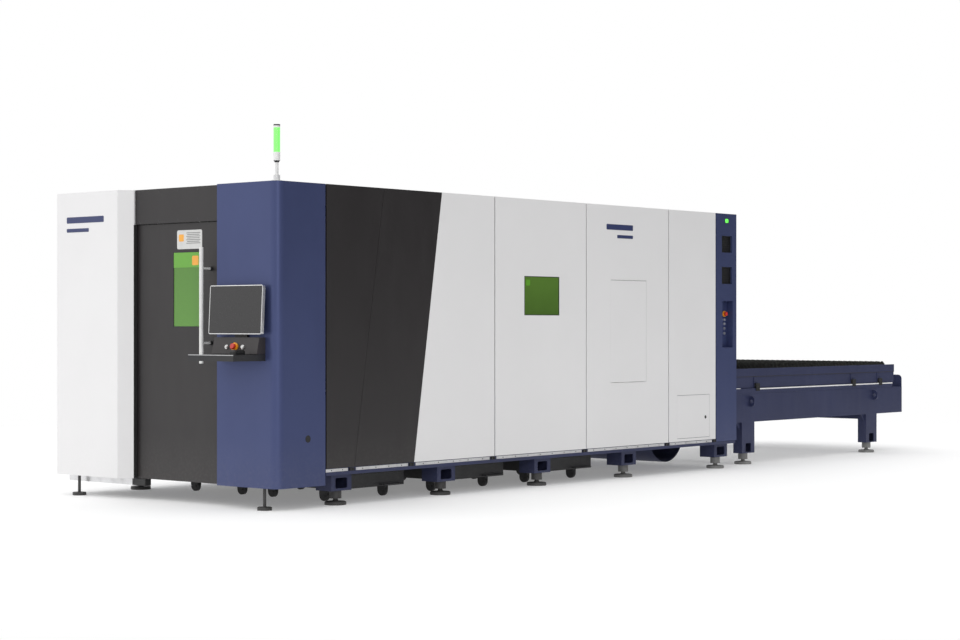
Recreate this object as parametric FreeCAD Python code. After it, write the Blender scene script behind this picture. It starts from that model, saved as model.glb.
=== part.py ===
"""Fibre laser sheet cutting machine: closed cabin, pallet changer, operator console and scrap carts.

Units are millimetres.  +X runs from the operator's end to the pallet changer, -Y is the long
side with the window, +Z is up.  The origin is on the floor, in the middle of the whole machine.
"""
import FreeCAD
import Part

import math
import os

Vec = FreeCAD.Vector

# ---------------------------------------------------------------- overall sizes
HALF_WIDTH = 1140.0          # middle of the machine to a side panel's outer face
TOP_Z = 2210.0               # cabin roof
SKIRT_Z = 150.0              # lower edge of the operator's end
PANEL_Z = 264.0              # lower edge of the side panels
SHEET = 3.0                  # folded sheet steel
SEAM = 12.0                  # open joint between two side panels
TRAY_REACH = 292.0           # keyboard shelf in front of the corner column
CHANGER_LENGTH = 3242.0      # pallet changer behind the cabin

# ---------------------------------------------------------------- long side, front to rear
COLUMN_SIDE = 464.0          # corner column along X
DARK_1 = 276.0               # widths along the lower edge
DARK_2 = 616.0
WHITE_1 = 907.0
WHITE_2 = 1132.0
WHITE_3 = 1132.0
WHITE_4 = 708.0
REAR_COLUMN = 321.0
LEAN = 303.0                 # sideways run of the two leaning seams over the panel height

CABIN_LENGTH = COLUMN_SIDE + DARK_1 + DARK_2 + WHITE_1 + WHITE_2 + WHITE_3 + WHITE_4 + REAR_COLUMN
OVERALL_LENGTH = TRAY_REACH + CABIN_LENGTH + CHANGER_LENGTH
FRONT_X = -OVERALL_LENGTH / 2 + TRAY_REACH
REAR_X = FRONT_X + CABIN_LENGTH
END_X = OVERALL_LENGTH / 2
SEAM_X = [FRONT_X + COLUMN_SIDE]
for width in (DARK_1, DARK_2, WHITE_1, WHITE_2, WHITE_3, WHITE_4):
    SEAM_X.append(SEAM_X[-1] + width)

# ---------------------------------------------------------------- operator's end
COLUMN_FRONT = 587.0         # corner column along Y
COLUMN_RADIUS = 65.0
COLUMN_RETURN = 62.0         # fold beside the door
COVER_PROUD = 36.0           # left cover stands out past the corner column
COVER_WIDTH = 768.0
COVER_CHAMFER = 82.0
HEADER_HEIGHT = 246.0
HEADER_SETBACK = 61.0        # corner column's front to the header's face
DOOR_SETBACK = 76.0          # corner column's front to the door's face
DOOR_DEPTH = 36.0
DOOR_OVERLAP = 12.0          # door behind the column and behind the cover
DOOR_GAP = 6.0               # door to header
DOOR_TRAVEL = 700.0
COLUMN_EDGE_Y = -HALF_WIDTH + COLUMN_FRONT
COVER_EDGE_Y = HALF_WIDTH - COVER_WIDTH
DOOR_X = FRONT_X + DOOR_SETBACK
HEADER_Z = TOP_Z - HEADER_HEIGHT
TRACK_HEIGHT = 46.0
TRACK_WIDTH = 50.0
TRACK_WALL = 4.0
TRACK_SLOT = 14.0
TRACK_DROP = 4.0             # door's lower edge to the lower track
TRACK_START = 98.0           # lower track reaches past the cover's edge
TRACK_END = 12.0             # tracks stop short of the far side
GUIDE_THICK = 6.0            # door's guide fin, running in the lower track

DOOR_PANE = (COLUMN_EDGE_Y + 233.0, COLUMN_EDGE_Y + 535.0, 1232.0, 1758.0)   # y, y, z, z
PANE_THICK = 5.0
PANE_SEAT = 12.0             # pane laps the sheet behind the opening
HANDLE_Y = COLUMN_EDGE_Y + 138.0
HANDLE_Z = (981.0, 1782.0)
HANDLE_RADIUS = 15.0
HANDLE_STAND = 94.0          # bar's axis in front of the door
HANDLE_POST_Z = (1122.0, 1635.0)
HANDLE_POST_RADIUS = 8.0

# ---------------------------------------------------------------- side openings
SIDE_PANE = (SEAM_X[3] + 351.0, SEAM_X[3] + 783.0, 1320.0, 1620.0)   # x, x, z, z
ACCESS = (SEAM_X[4] + 324.0, SEAM_X[4] + 812.0, 782.0, 1606.0)
HATCH = (SEAM_X[5] + 126.0, SEAM_X[5] + 608.0, 290.0, 650.0)
LEAF_GAP = 3.0               # running gap round a flush door
HINGE_GAP = 0.8              # the same on its hinge side
LATCH_X = SEAM_X[5] + 547.0
LATCH_Z = 459.0
LATCH_RADIUS = 14.0
PLUG_X = FRONT_X + 291.0
PLUG_Z = 475.0
PLUG_RADIUS = 20.0
FOLD = 25.0                  # panels' folded edges
REAR_RETURN = 110.0          # rear columns' fold round the corner
VENT_X = (SEAM_X[6] + 92.0, SEAM_X[6] + 252.0)
VENTS = ((*VENT_X, 1873.0, 2018.0), (*VENT_X, 1601.0, 1748.0))
VENT_DEPTH = 28.0
POCKET = (SEAM_X[6] + 100.0, SEAM_X[6] + 263.0, 1050.0, 1453.0)
POCKET_DEPTH = 60.0
POCKET_BUTTON_X = SEAM_X[6] + 213.0
POCKET_STOP_Z = 1342.0
POCKET_BUTTON_Z = (1292.0, 1256.0, 1215.0, 1173.0)

# ---------------------------------------------------------------- bed
BED_Z = 214.0                # underside of the base flange
FLANGE = 24.0
BED_TOP = 760.0
BEAM_WIDTH = 118.0
BEAM_WALL = 8.0
PANEL_GAP = 9.0              # side panel's face to the bed's beam
STRIP_THICK = 4.0
STRIP_GAP = 5.0              # strips' top edge below the panels
LEG_X = (FRONT_X + 668.0, FRONT_X + 1768.0, FRONT_X + 2901.0, FRONT_X + 4035.0, REAR_X - 169.0)
LEG_SIZE = (200.0, 150.0)    # along X, along Y
LEG_BOTTOM = 100.0
LEG_WALL = 10.0
LEG_HOLE = (120.0, 72.0)
LEG_SETBACK = 52.0           # panel's face to the leg's face
FOOT_SETBACK = 58.0          # leg's face to the foot's axis
PAD_RADIUS = 76.0
PAD_THICK = 24.0
THIN_PAD = (50.0, 22.0)      # radius, height
THIN_STEM_RADIUS = 11.0
THIN_FOOT_SETBACK = (170.0, 179.0)   # side face to the axis, near and far
STEM_RADIUS = 17.0
NUT_RADIUS = 42.0
NUT_HEIGHT = 55.0
CROSS_WIDTH = 100.0
RAIL_WIDTH = 35.0
RAIL_INSET = 33.0            # beam's inner face to the rail's middle
RAIL_HEIGHT = 40.0

# ---------------------------------------------------------------- pallets
RUN_UPPER = 629.0            # rolling surface of the upper pallet
LEDGE_THICK = 10.0
WHEEL_RADIUS = 24.0
ROLL_GAP = 0.3               # wheels above their ledges
WHEEL_TOP_GAP = 1.7          # wheels below the pallet's flange
PALLET_RAISE = ROLL_GAP + 2 * WHEEL_RADIUS + WHEEL_TOP_GAP   # rolling surface to the pallet's underside
PALLET_HEIGHT = 175.0
LEVEL_GAP = 6.0              # lower pallet under the upper ledges
RUN_LOWER = RUN_UPPER - LEDGE_THICK - LEVEL_GAP - PALLET_HEIGHT - PALLET_RAISE
CROSS_Z = (RUN_LOWER - 138.0, RUN_LOWER - 18.0)   # bed's cross tubes
PALLET_BAND = 70.0           # thicker upper band
PALLET_BAND_PROUD = 5.0
PALLET_GAP = 37.0            # cabin's rear face to the parked pallet
PALLET_END_GAP = 135.0       # parked pallet to the changer's end
PALLET_LENGTH = CHANGER_LENGTH - PALLET_GAP - PALLET_END_GAP
PALLET_TRAVEL = 4900.0
PALLET_WALL = 8.0
PALLET_FLANGE = 70.0
SIDE_CLEAR = 4.0
CHANNEL_WALL = 8.0
CHANNEL_FLANGE = 70.0
CHANGER_HALF = 985.0         # changer frame's outer face
CHANGER_GAP = 17.0           # cabin's rear face to the changer frame
CHANGER_SEAT = 12.0          # lower rolling surface to the beam's underside
CHANGER_DEPTH = RUN_UPPER - RUN_LOWER + CHANGER_SEAT
CHANGER_LEG = (205.0, 92.0)
CHANGER_LEG_X = (REAR_X + 430.0, END_X - 607.0)
CHANGER_LEG_HOLE = (90.0, 80.0)
CHANGER_CROSS = (325.0, 405.0)
WHEEL_WIDTH = 30.0
WHEEL_BORE = 8.0
RUNNING = 0.05               # radial clearance of a wheel on its axle
WHEEL_OFFSETS = (551.0, 1407.0, PALLET_LENGTH - 807.0, PALLET_LENGTH - 292.0)
RIB_WHEELS = (0, 2, 3)       # wheels that have a rib over them
SLAT_PITCH = 62.0
SLAT_THICK = 5.0
SLAT_HEIGHT = 84.0
SLAT_TOOTH = 60.0
SLAT_TOOTH_DEPTH = 26.0
SLAT_PROUD = 30.0            # teeth above the pallet's sides
GUARD_HEIGHT = 119.0

# ---------------------------------------------------------------- carts
TROUGH = (SEAM_X[5] + 588.0, 320.0, 267.0, 4.0)              # x, z of its axis, radius, wall
CART_CENTRES = (FRONT_X + 1129.0, FRONT_X + 2262.0, FRONT_X + 3375.0)
CART_HALF = 335.0
CART_FRONT_Y = -HALF_WIDTH + 195.0
CART_BACK_Y = HALF_WIDTH - 340.0
CART_Z = (90.0, 200.0)
CART_SHEET = 4.0
CART_AXLE_Y = (CART_FRONT_Y + 178.0, CART_FRONT_Y + 702.0, CART_FRONT_Y + 1025.0, CART_FRONT_Y + 1531.0)
CART_WHEEL_X = 300.0
CASTER_RADIUS = 42.0
CASTER_WIDTH = 24.0
CASTER_BORE = 6.0

# ---------------------------------------------------------------- gantry and head
GANTRY_X = FRONT_X + 3493.0            # parked position of the beam's middle
TRUCK_GAP = 0.5              # truck blocks above the rails
GANTRY_SIZE = (260.0, 240.0)
GANTRY_WALL = 10.0
GANTRY_LIFT = 40.0           # truck blocks on the bed's rails
GANTRY_LEG = 120.0
TRUCK_HEIGHT = 30.0
NOZZLE_REST = 116.0          # nozzle above the upper pallet's teeth
GUIDE_GAP = 0.5

# ---------------------------------------------------------------- console and lamp
CONSOLE_Y = (-HALF_WIDTH + 110.0, -HALF_WIDTH + 551.0)
CONSOLE_Z = (1052.0, 1163.0)
CONSOLE_REACH = (81.0, 55.0)     # lower and upper edge in front of the corner column
CONSOLE_SHEET = 3.0
TRAY_THICK = 42.0
TRAY_TOP = 1047.0
SCREEN_Y = (-HALF_WIDTH + 76.0, -HALF_WIDTH + 593.0)
SCREEN_Z = (1184.0, 1515.0)
SCREEN_THICK = 24.0
SCREEN_STAND = 64.0          # screen's face in front of the corner column
SCREEN_LEAN = 3.0            # degrees
SCREEN_RIM = 5.0
SCREEN_CORNER = 12.0
STOP_RADIUS = 20.0
STOP_COLLAR = 30.0
BUTTON_RADIUS = 11.0
BEZEL_RADIUS = 15.0
BUTTON_SPACING = 79.0
SHAFT_RADIUS = 6.0
SHAFT_CLEAR = 0.5
LAMP_X = FRONT_X + 90.0
LAMP_Y = -HALF_WIDTH + 94.0
LAMP_FLANGE = (37.5, 7.0)    # radius, height
LAMP_SOCKET = (22.0, 44.0)   # radius, height of its top over the roof
LAMP_POLE = (11.5, 128.0)
LAMP_RADIUS = 22.5
LAMP_CONE = 13.0
LAMP_SHELL = (141.0, 198.0)  # levels over the roof
LAMP_LENS = (22.0, 362.0)
LAMP_RING = 375.0
LAMP_CAP = 384.0


def box(x0, x1, y0, y1, z0, z1):
    """Axis-aligned block between two corners given in any order."""
    low = Vec(min(x0, x1), min(y0, y1), min(z0, z1))
    return Part.makeBox(abs(x1 - x0), abs(y1 - y0), abs(z1 - z0), low)


def rod(radius, start, end):
    """Round bar from one point to another."""
    start = Vec(*start)
    run = Vec(*end) - start
    return Part.makeCylinder(radius, run.Length, start, run)


def prism(points, direction):
    """Solid swept from a closed outline of straight sides."""
    corners = [Vec(*p) for p in points]
    face = Part.Face(Part.makePolygon(corners + corners[:1]))
    return face.extrude(Vec(*direction))


def fuse(*shapes):
    """One solid from several that touch."""
    return shapes[0].fuse(list(shapes[1:])).removeSplitter()


def cut(shape, *tools):
    """Shape with the tools taken away."""
    return shape.cut(list(tools))


def mirrored(shape):
    """Copy on the other long side."""
    return shape.mirror(Vec(0, 0, 0), Vec(0, 1, 0))


def both_sides(shape):
    """The piece and its copy on the other long side."""
    return [shape, mirrored(shape)]


def moved(shape, x=0.0, y=0.0, z=0.0):
    """Copy shifted by the given distances."""
    twin = shape.copy()
    twin.translate(Vec(x, y, z))
    return twin


def save(name, solids):
    """Writes one node from one solid or a group of them."""
    group = solids if isinstance(solids, list) else [solids]
    flat = [s for shape in group for s in shape.Solids]
    shape = flat[0] if len(flat) == 1 else Part.makeCompound(flat)
    shape.exportStep(os.path.join("parts", name + ".step"))


def rounded_window(width, height, radius, depth):
    """Cutter with rounded corners in the XZ plane, centred on the origin, running along +Y."""
    block = box(-width / 2, width / 2, 0, depth, -height / 2, height / 2)
    upright = [e for e in block.Edges if abs(e.tangentAt(e.FirstParameter).y) > 0.99]
    return block.makeFillet(radius, upright)


# ---------------------------------------------------------------- bed and frames
BEAM_OUTER = HALF_WIDTH - PANEL_GAP
BEAM_INNER = BEAM_OUTER - BEAM_WIDTH
BED_X = (SEAM_X[0] + 4.0, REAR_X - 18.0)


def leg_block(x, outer_y, size, z0, z1, hole, hole_z):
    """Hollow leg with a rounded hand hole in its outer face, for the side at -Y."""
    along, deep = size
    shell = box(x - along / 2, x + along / 2, outer_y, outer_y + deep, z0, z1)
    core = box(x - along / 2 + LEG_WALL, x + along / 2 - LEG_WALL, outer_y + LEG_WALL,
               outer_y + deep - LEG_WALL, z0 + LEG_WALL, z1 + 1)
    window = moved(rounded_window(hole[0], hole[1], 12, LEG_WALL * 2), x, outer_y - LEG_WALL / 2, hole_z)
    return cut(shell, core, window)


def bed_frame():
    """Welded bed: two box beams with pallet ledges, cross tubes and short hollow legs."""
    y0, y1 = -BEAM_OUTER, -BEAM_INNER
    beam = cut(box(*BED_X, y0, y1, BED_Z, BED_TOP),
               box(BED_X[0] - 1, BED_X[1] + 1, y0 + BEAM_WALL, y1 - BEAM_WALL,
                   BED_Z + BEAM_WALL, BED_TOP - BEAM_WALL))
    flange = box(*BED_X, -HALF_WIDTH + 1, y0, BED_Z, BED_Z + FLANGE)
    ledges = [box(*BED_X, y1, -ledge_inner(), z - LEDGE_THICK, z) for z in (RUN_UPPER, RUN_LOWER)]
    bridges = [box(BED_X[1], CHANGER_X[0] - 0.5, -CHANGER_HALF, -ledge_inner(), z - LEDGE_THICK, z)
               for z in (RUN_UPPER, RUN_LOWER)]
    legs = [leg_block(x, -HALF_WIDTH + LEG_SETBACK, LEG_SIZE, LEG_BOTTOM, BED_Z, LEG_HOLE,
                      (LEG_BOTTOM + BED_Z) / 2 - 4) for x in LEG_X]
    solids = []
    for piece in [beam, flange] + ledges + bridges + legs:
        solids += both_sides(piece)
    for x in (BED_X[0] + CROSS_WIDTH, LEG_X[3] - 150, BED_X[1] - 1.5 * CROSS_WIDTH):
        tube = box(x - CROSS_WIDTH / 2, x + CROSS_WIDTH / 2, y1, -y1, *CROSS_Z)
        core = box(x - CROSS_WIDTH / 2 + BEAM_WALL, x + CROSS_WIDTH / 2 - BEAM_WALL, y1 - 1, 1 - y1,
                   CROSS_Z[0] + BEAM_WALL, CROSS_Z[1] - BEAM_WALL)
        solids.append(cut(tube, core))
    return solids


def ledge_inner():
    """Inner edge of the ledges that the pallet wheels run on."""
    return CHANGER_HALF - CHANNEL_FLANGE


def levelling_feet():
    """Pad with a stem, and its round adjusting nut, under every leg."""
    spots = [(x, HALF_WIDTH - LEG_SETBACK - FOOT_SETBACK) for x in LEG_X]
    spots += [(x, CHANGER_HALF - FOOT_SETBACK) for x in CHANGER_LEG_X]
    solids = []
    for x, y in spots:
        solids += both_sides(levelling_foot(x, -y))
    near, far = THIN_FOOT_SETBACK
    solids.append(thin_foot(FRONT_X + 50.0, near - HALF_WIDTH, BED_Z))
    solids.append(thin_foot(FRONT_X + 28.0, HALF_WIDTH - far, SKIRT_Z))
    return solids


def levelling_foot(x, y):
    """Domed pad and stem, one turned piece, with its nut as a second solid."""
    pad = Part.makeCylinder(PAD_RADIUS, PAD_THICK, Vec(x, y, 0))
    rim = [e for e in pad.Edges if e.BoundBox.ZMin > PAD_THICK - 1 and len(e.Vertexes) == 1]
    pad = pad.makeChamfer(5, rim)
    neck = Part.makeCone(STEM_RADIUS * 1.5, STEM_RADIUS, 12, Vec(x, y, PAD_THICK))
    stem = rod(STEM_RADIUS, (x, y, PAD_THICK), (x, y, LEG_BOTTOM))
    nut_z = LEG_BOTTOM - NUT_HEIGHT
    nut = cut(rod(NUT_RADIUS, (x, y, nut_z), (x, y, LEG_BOTTOM)),
              rod(STEM_RADIUS + 0.2, (x, y, nut_z - 1), (x, y, LEG_BOTTOM + 1)))
    return Part.makeCompound([fuse(pad, neck, stem), nut])


def thin_foot(x, y, top):
    """Slim jack screw under the operator's end."""
    radius, height = THIN_PAD
    pad = Part.makeCylinder(radius, height, Vec(x, y, 0))
    rim = [e for e in pad.Edges if e.BoundBox.ZMin > height - 1 and len(e.Vertexes) == 1]
    return fuse(pad.makeChamfer(3, rim), rod(THIN_STEM_RADIUS, (x, y, height), (x, y, top)))


TUBE = 50.0                  # cabin frame's square tube
TUBE_FACE = HALF_WIDTH - PANEL_GAP
FRAME_FRONT = DOOR_X + DOOR_DEPTH + 26.0
CAP_LAP = 12.0               # top sheets of the operator's end lap the frame


def enclosure_frame():
    """Square-tube skeleton that carries the panels, roof and doors."""
    y0, y1 = -TUBE_FACE, -TUBE_FACE + TUBE
    top = TOP_Z - SHEET
    rear = REAR_X - SHEET
    front = FRAME_FRONT
    low = top - TUBE
    spans = SEAM_X[3:6]
    posts = [box(front, front + TUBE, y0, y1, BED_Z, low), box(rear - TUBE, rear, y0, y1, BED_TOP, low),
             box(SEAM_X[0] - TUBE, SEAM_X[0], y0, y1, BED_Z, low)]
    posts += [box(x - TUBE / 2, x + TUBE / 2, y0, y1, BED_TOP, low) for x in spans]
    sill = box(front + TUBE, SEAM_X[0] - TUBE, y0, y1, BED_Z, BED_Z + TUBE)
    rail = box(front, rear, y0, y1, low, top)
    solids = []
    for piece in posts + [sill, rail]:
        solids += both_sides(piece)
    solids += [box(a, a + TUBE, y1, -y1, low, top) for a in [front, rear - TUBE] + [x - TUBE / 2 for x in spans]]
    jamb_y = COLUMN_EDGE_Y - 80
    solids.append(box(front, front + TUBE, y1, -y1, BED_Z, BED_Z + TUBE))
    solids.append(box(front, front + TUBE, jamb_y, jamb_y + TUBE, BED_Z + TUBE, low))
    bracket_y = THIN_FOOT_SETBACK[0] - HALF_WIDTH
    solids.append(box(FRONT_X + 25, front, bracket_y - 30, bracket_y + 30, BED_Z, BED_Z + 40))
    return solids


# ---------------------------------------------------------------- operator's end
def corner_column():
    """Folded column that wraps the corner, open at the back, with a plug hole low on its side."""
    def plan(inset):
        x0, x1 = FRONT_X + inset, SEAM_X[0] - SEAM / 2
        y0, y1 = -HALF_WIDTH + inset, COLUMN_EDGE_Y - inset
        r = COLUMN_RADIUS - inset
        mid = r * (1 - math.sqrt(0.5))
        arc = Part.Arc(Vec(x0, y0 + r, 0), Vec(x0 + mid, y0 + mid, 0), Vec(x0 + r, y0, 0)).toShape()
        past = 1 if inset else 0
        reach, tail, inner_y = x1 + past, FRONT_X + COLUMN_RETURN + past, y0 + FOLD
        corners = [Vec(x0 + r, y0, 0), Vec(reach, y0, 0), Vec(reach, inner_y, 0),
                   Vec(tail, inner_y, 0), Vec(tail, y1, 0), Vec(x0, y1, 0), Vec(x0, y0 + r, 0)]
        sides = [Part.makeLine(a, b) for a, b in zip(corners, corners[1:])]
        wire = Part.Wire(Part.__sortEdges__([arc] + sides))
        return Part.Face(wire)
    height = TOP_Z - SKIRT_Z
    outer = plan(0).extrude(Vec(0, 0, height))
    inner = plan(SHEET).extrude(Vec(0, 0, height + 2))
    outer.translate(Vec(0, 0, SKIRT_Z))
    inner.translate(Vec(0, 0, SKIRT_Z - 1))
    shell = cut(outer, inner)
    edge_fold = box(SEAM_X[0] - SEAM / 2 - SHEET, SEAM_X[0] - SEAM / 2, -HALF_WIDTH,
                    -HALF_WIDTH + PANEL_GAP, SKIRT_Z, TOP_Z)
    cap = box(FRONT_X, FRAME_FRONT + CAP_LAP, -HALF_WIDTH, COLUMN_EDGE_Y, TOP_Z - SHEET, TOP_Z)
    corner = [e for e in cap.Edges if abs(e.tangentAt(e.FirstParameter).z) > 0.99
              and e.BoundBox.XMax < FRONT_X + 1 and e.BoundBox.YMax < -HALF_WIDTH + 1]
    cap = cap.makeFillet(COLUMN_RADIUS, corner)
    hole = rod(PLUG_RADIUS, (PLUG_X, -HALF_WIDTH - 1, PLUG_Z), (PLUG_X, -HALF_WIDTH + 10, PLUG_Z))
    return cut(fuse(shell, edge_fold, cap), hole)


def front_header():
    """Folded header panel over the door."""
    x0 = FRONT_X + HEADER_SETBACK
    face = box(x0, x0 + SHEET, COLUMN_EDGE_Y, COVER_EDGE_Y, HEADER_Z, TOP_Z)
    lower = box(x0, x0 + 14.0, COLUMN_EDGE_Y, COVER_EDGE_Y, HEADER_Z, HEADER_Z + SHEET)
    upper = box(x0, FRAME_FRONT + CAP_LAP, COLUMN_EDGE_Y, COVER_EDGE_Y, TOP_Z - SHEET, TOP_Z)
    return fuse(face, lower, upper)


def front_left_cover():
    """Folded white cover with a chamfered edge; the door slides behind it."""
    x0 = FRONT_X - COVER_PROUD
    back = FRONT_X + HEADER_SETBACK - 2.0
    y0, y1, c = COVER_EDGE_Y, HALF_WIDTH, COVER_CHAMFER
    far_back = SEAM_X[0] - SEAM / 2

    def plan(t, grow):
        k = t * math.tan(math.radians(22.5))
        return [(x0 + t, y1 - t, SKIRT_Z - grow), (x0 + t, y0 + c + k, SKIRT_Z - grow),
                (x0 + c + k, y0 + t, SKIRT_Z - grow),
                (back + grow, y0 + t, SKIRT_Z - grow), (back + grow, y1 - FOLD, SKIRT_Z - grow),
                (far_back + grow, y1 - FOLD, SKIRT_Z - grow), (far_back + grow, y1 - t, SKIRT_Z - grow)]
    height = TOP_Z - SKIRT_Z
    shell = cut(prism(plan(0, 0), (0, 0, height)), prism(plan(SHEET, 1), (0, 0, height + 2)))
    lap = FRAME_FRONT + CAP_LAP
    top = TOP_Z - SHEET
    cap = prism([(x0, y1, top), (x0, y0 + c, top), (x0 + c, y0, top), (lap, y0, top), (lap, y1, top)],
                (0, 0, SHEET))
    low = SKIRT_Z
    floor = prism([(x0, y1, low), (x0, y0 + c, low), (x0 + c, y0, low), (back, y0, low), (back, y1, low)],
                  (0, 0, SHEET))
    edge_fold = box(far_back - SHEET, far_back, y1 - PANEL_GAP, y1, SKIRT_Z, TOP_Z)
    return fuse(shell, cap, floor, edge_fold)


def door_tracks():
    """Upper hanging track behind the header and lower guide track under the cover."""
    y_end = HALF_WIDTH - TRACK_END
    mid = DOOR_X + DOOR_DEPTH / 2
    lower = box(mid - TRACK_WIDTH / 2, mid + TRACK_WIDTH / 2, COVER_EDGE_Y - TRACK_START, y_end,
                SKIRT_Z - TRACK_DROP - TRACK_HEIGHT, SKIRT_Z - TRACK_DROP)
    lower = cut(lower, box(mid - TRACK_WIDTH / 2 + TRACK_WALL, mid + TRACK_WIDTH / 2 - TRACK_WALL,
                           COVER_EDGE_Y - TRACK_START - 1, y_end + 1, SKIRT_Z - TRACK_HEIGHT, SKIRT_Z - TRACK_DROP - TRACK_WALL),
                box(mid - TRACK_SLOT / 2, mid + TRACK_SLOT / 2, COVER_EDGE_Y - TRACK_START - 1, y_end + 1,
                    SKIRT_Z - 20, SKIRT_Z))
    hanger = box(FRAME_FRONT - 8, FRAME_FRONT, y_end - 60, y_end - 20, SKIRT_Z - 50, BED_Z + 40)
    step = box(mid + TRACK_WIDTH / 2, FRAME_FRONT, y_end - 60, y_end - 20, SKIRT_Z - 50, SKIRT_Z - 40)
    z0 = HEADER_Z + 40.0
    upper = box(DOOR_X + 2, DOOR_X + 46, COLUMN_EDGE_Y - 10, y_end, z0, z0 + 60)
    upper = cut(upper, box(DOOR_X + 6, DOOR_X + 42, COLUMN_EDGE_Y - 11, y_end + 1, z0 + 4, z0 + 56),
                box(mid - 5, mid + 11, COLUMN_EDGE_Y - 11, y_end + 1, z0 - 1, z0 + 6))
    arm = box(DOOR_X + 46, FRAME_FRONT, -20, 20, z0 + 10, z0 + 50)
    link = box(FRAME_FRONT - 8, FRAME_FRONT, -20, 20, z0 + 10, TOP_Z - SHEET - 1)
    return [fuse(lower, step, hanger), fuse(upper, arm, link)]


def door_panel():
    """Folded sliding door with a window opening, hanger plates and a lower guide fin."""
    y0, y1 = COLUMN_EDGE_Y - DOOR_OVERLAP, COVER_EDGE_Y + DOOR_OVERLAP
    z0, z1 = SKIRT_Z, HEADER_Z - DOOR_GAP
    tray = cut(box(DOOR_X, DOOR_X + DOOR_DEPTH, y0, y1, z0, z1),
               box(DOOR_X + SHEET, DOOR_X + DOOR_DEPTH + 1, y0 + SHEET, y1 - SHEET, z0 + SHEET, z1 - SHEET))
    py0, py1, pz0, pz1 = DOOR_PANE
    opening = box(DOOR_X - 1, DOOR_X + SHEET + 1, py0, py1, pz0, pz1)
    mid = DOOR_X + DOOR_DEPTH / 2
    slot_z = SKIRT_Z - TRACK_DROP - TRACK_HEIGHT + TRACK_WALL + 6
    fin = box(mid - GUIDE_THICK / 2, mid + GUIDE_THICK / 2, y1 - 104, y1 - 14, slot_z, z0 + SHEET)
    hangers = []
    for y in (y0 + 160, y1 - 160):
        plate = box(mid - 3, mid + 9, y - 40, y + 40, z1 - 60, HEADER_Z + 66)
        wheel_pin = box(mid - 11, mid + 17, y - 30, y + 30, HEADER_Z + 44.5, HEADER_Z + 74.5)
        foot = box(DOOR_X + SHEET, mid + 9, y - 40, y + 40, z1 - 60, z1 - 50)
        hangers += [plate, wheel_pin, foot]
    bolts = []
    for z in HANDLE_POST_Z:
        bolts.append(rod(HANDLE_POST_RADIUS, (DOOR_X - 1, HANDLE_Y, z), (DOOR_X + SHEET + 1, HANDLE_Y, z)))
    return fuse(cut(tray, opening, *bolts), fin, *hangers)


def door_window():
    """Green safety pane behind the door's opening."""
    y0, y1, z0, z1 = DOOR_PANE
    x0 = DOOR_X + SHEET
    return box(x0, x0 + PANE_THICK, y0 - PANE_SEAT, y1 + PANE_SEAT, z0 - PANE_SEAT, z1 + PANE_SEAT)


def door_handle():
    """Tall round pull bar on two posts with end caps."""
    x = DOOR_X - HANDLE_STAND
    bar = rod(HANDLE_RADIUS, (x, HANDLE_Y, HANDLE_Z[0]), (x, HANDLE_Y, HANDLE_Z[1]))
    posts = []
    for z in HANDLE_POST_Z:
        posts.append(rod(HANDLE_POST_RADIUS, (x, HANDLE_Y, z), (DOOR_X + SHEET + 6, HANDLE_Y, z)))
        posts.append(rod(14, (DOOR_X - 16, HANDLE_Y, z), (DOOR_X, HANDLE_Y, z)))
    return fuse(bar, *posts)


# ---------------------------------------------------------------- side panels
def lean_at(z):
    """Sideways shift of a leaning seam at a height."""
    return LEAN * (z - PANEL_Z) / (TOP_Z - PANEL_Z)


def side_panel(x0, x1, lean0, lean1, openings=()):
    """Folded panel of the side at -Y; either edge may lean, and openings are x, x, z, z."""
    def outline(inset, y):
        a0, a1 = x0 + SEAM / 2 + inset, x1 - SEAM / 2 - inset
        z0, z1 = PANEL_Z + inset, TOP_Z - inset
        return [(a0 + lean0 * lean_at(z0), y, z0), (a1 + lean1 * lean_at(z0), y, z0),
                (a1 + lean1 * lean_at(z1), y, z1), (a0 + lean0 * lean_at(z1), y, z1)]
    y0 = -HALF_WIDTH
    depth = PANEL_GAP
    tray = cut(prism(outline(0, y0), (0, depth, 0)), prism(outline(SHEET, y0 + SHEET), (0, depth, 0)))
    cutters = [box(a, b, y0 - 1, y0 + depth + 1, c, d) for a, b, c, d in openings]
    return cut(tray, *cutters) if cutters else tray


def near_panels():
    """The six panels of the near side by name."""
    s = SEAM_X
    grow = LEAF_GAP
    access = (ACCESS[0] - HINGE_GAP, ACCESS[1] + grow, ACCESS[2] - grow, ACCESS[3] + grow)
    hatch = (HATCH[0] - HINGE_GAP, HATCH[1] + grow, HATCH[2] - grow, HATCH[3] + grow)
    return {
        "side_panel_dark_front": side_panel(s[0], s[1], 0, 1),
        "side_panel_dark_rear": side_panel(s[1], s[2], 1, 1),
        "side_panel_white_1": side_panel(s[2], s[3], 1, 0),
        "side_panel_white_2": side_panel(s[3], s[4], 0, 0, [SIDE_PANE]),
        "side_panel_white_3": side_panel(s[4], s[5], 0, 0, [access]),
        "side_panel_white_4": side_panel(s[5], s[6], 0, 0, [hatch]),
    }


def side_window():
    """Green safety pane seated behind its opening."""
    x0, x1, z0, z1 = SIDE_PANE
    y0 = -HALF_WIDTH + SHEET
    return box(x0 - PANE_SEAT, x1 + PANE_SEAT, y0, y0 + PANE_THICK, z0 - PANE_SEAT, z1 + PANE_SEAT)


def flush_leaf(opening):
    """Flat door leaf with a stiffening fold, flush in its opening."""
    x0, x1, z0, z1 = opening
    y0 = -HALF_WIDTH
    deep = PANEL_GAP - 0.6
    return cut(box(x0, x1, y0, y0 + deep, z0, z1),
               box(x0 + SHEET, x1 - SHEET, y0 + SHEET, y0 + deep + 1, z0 + SHEET, z1 - SHEET))


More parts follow.
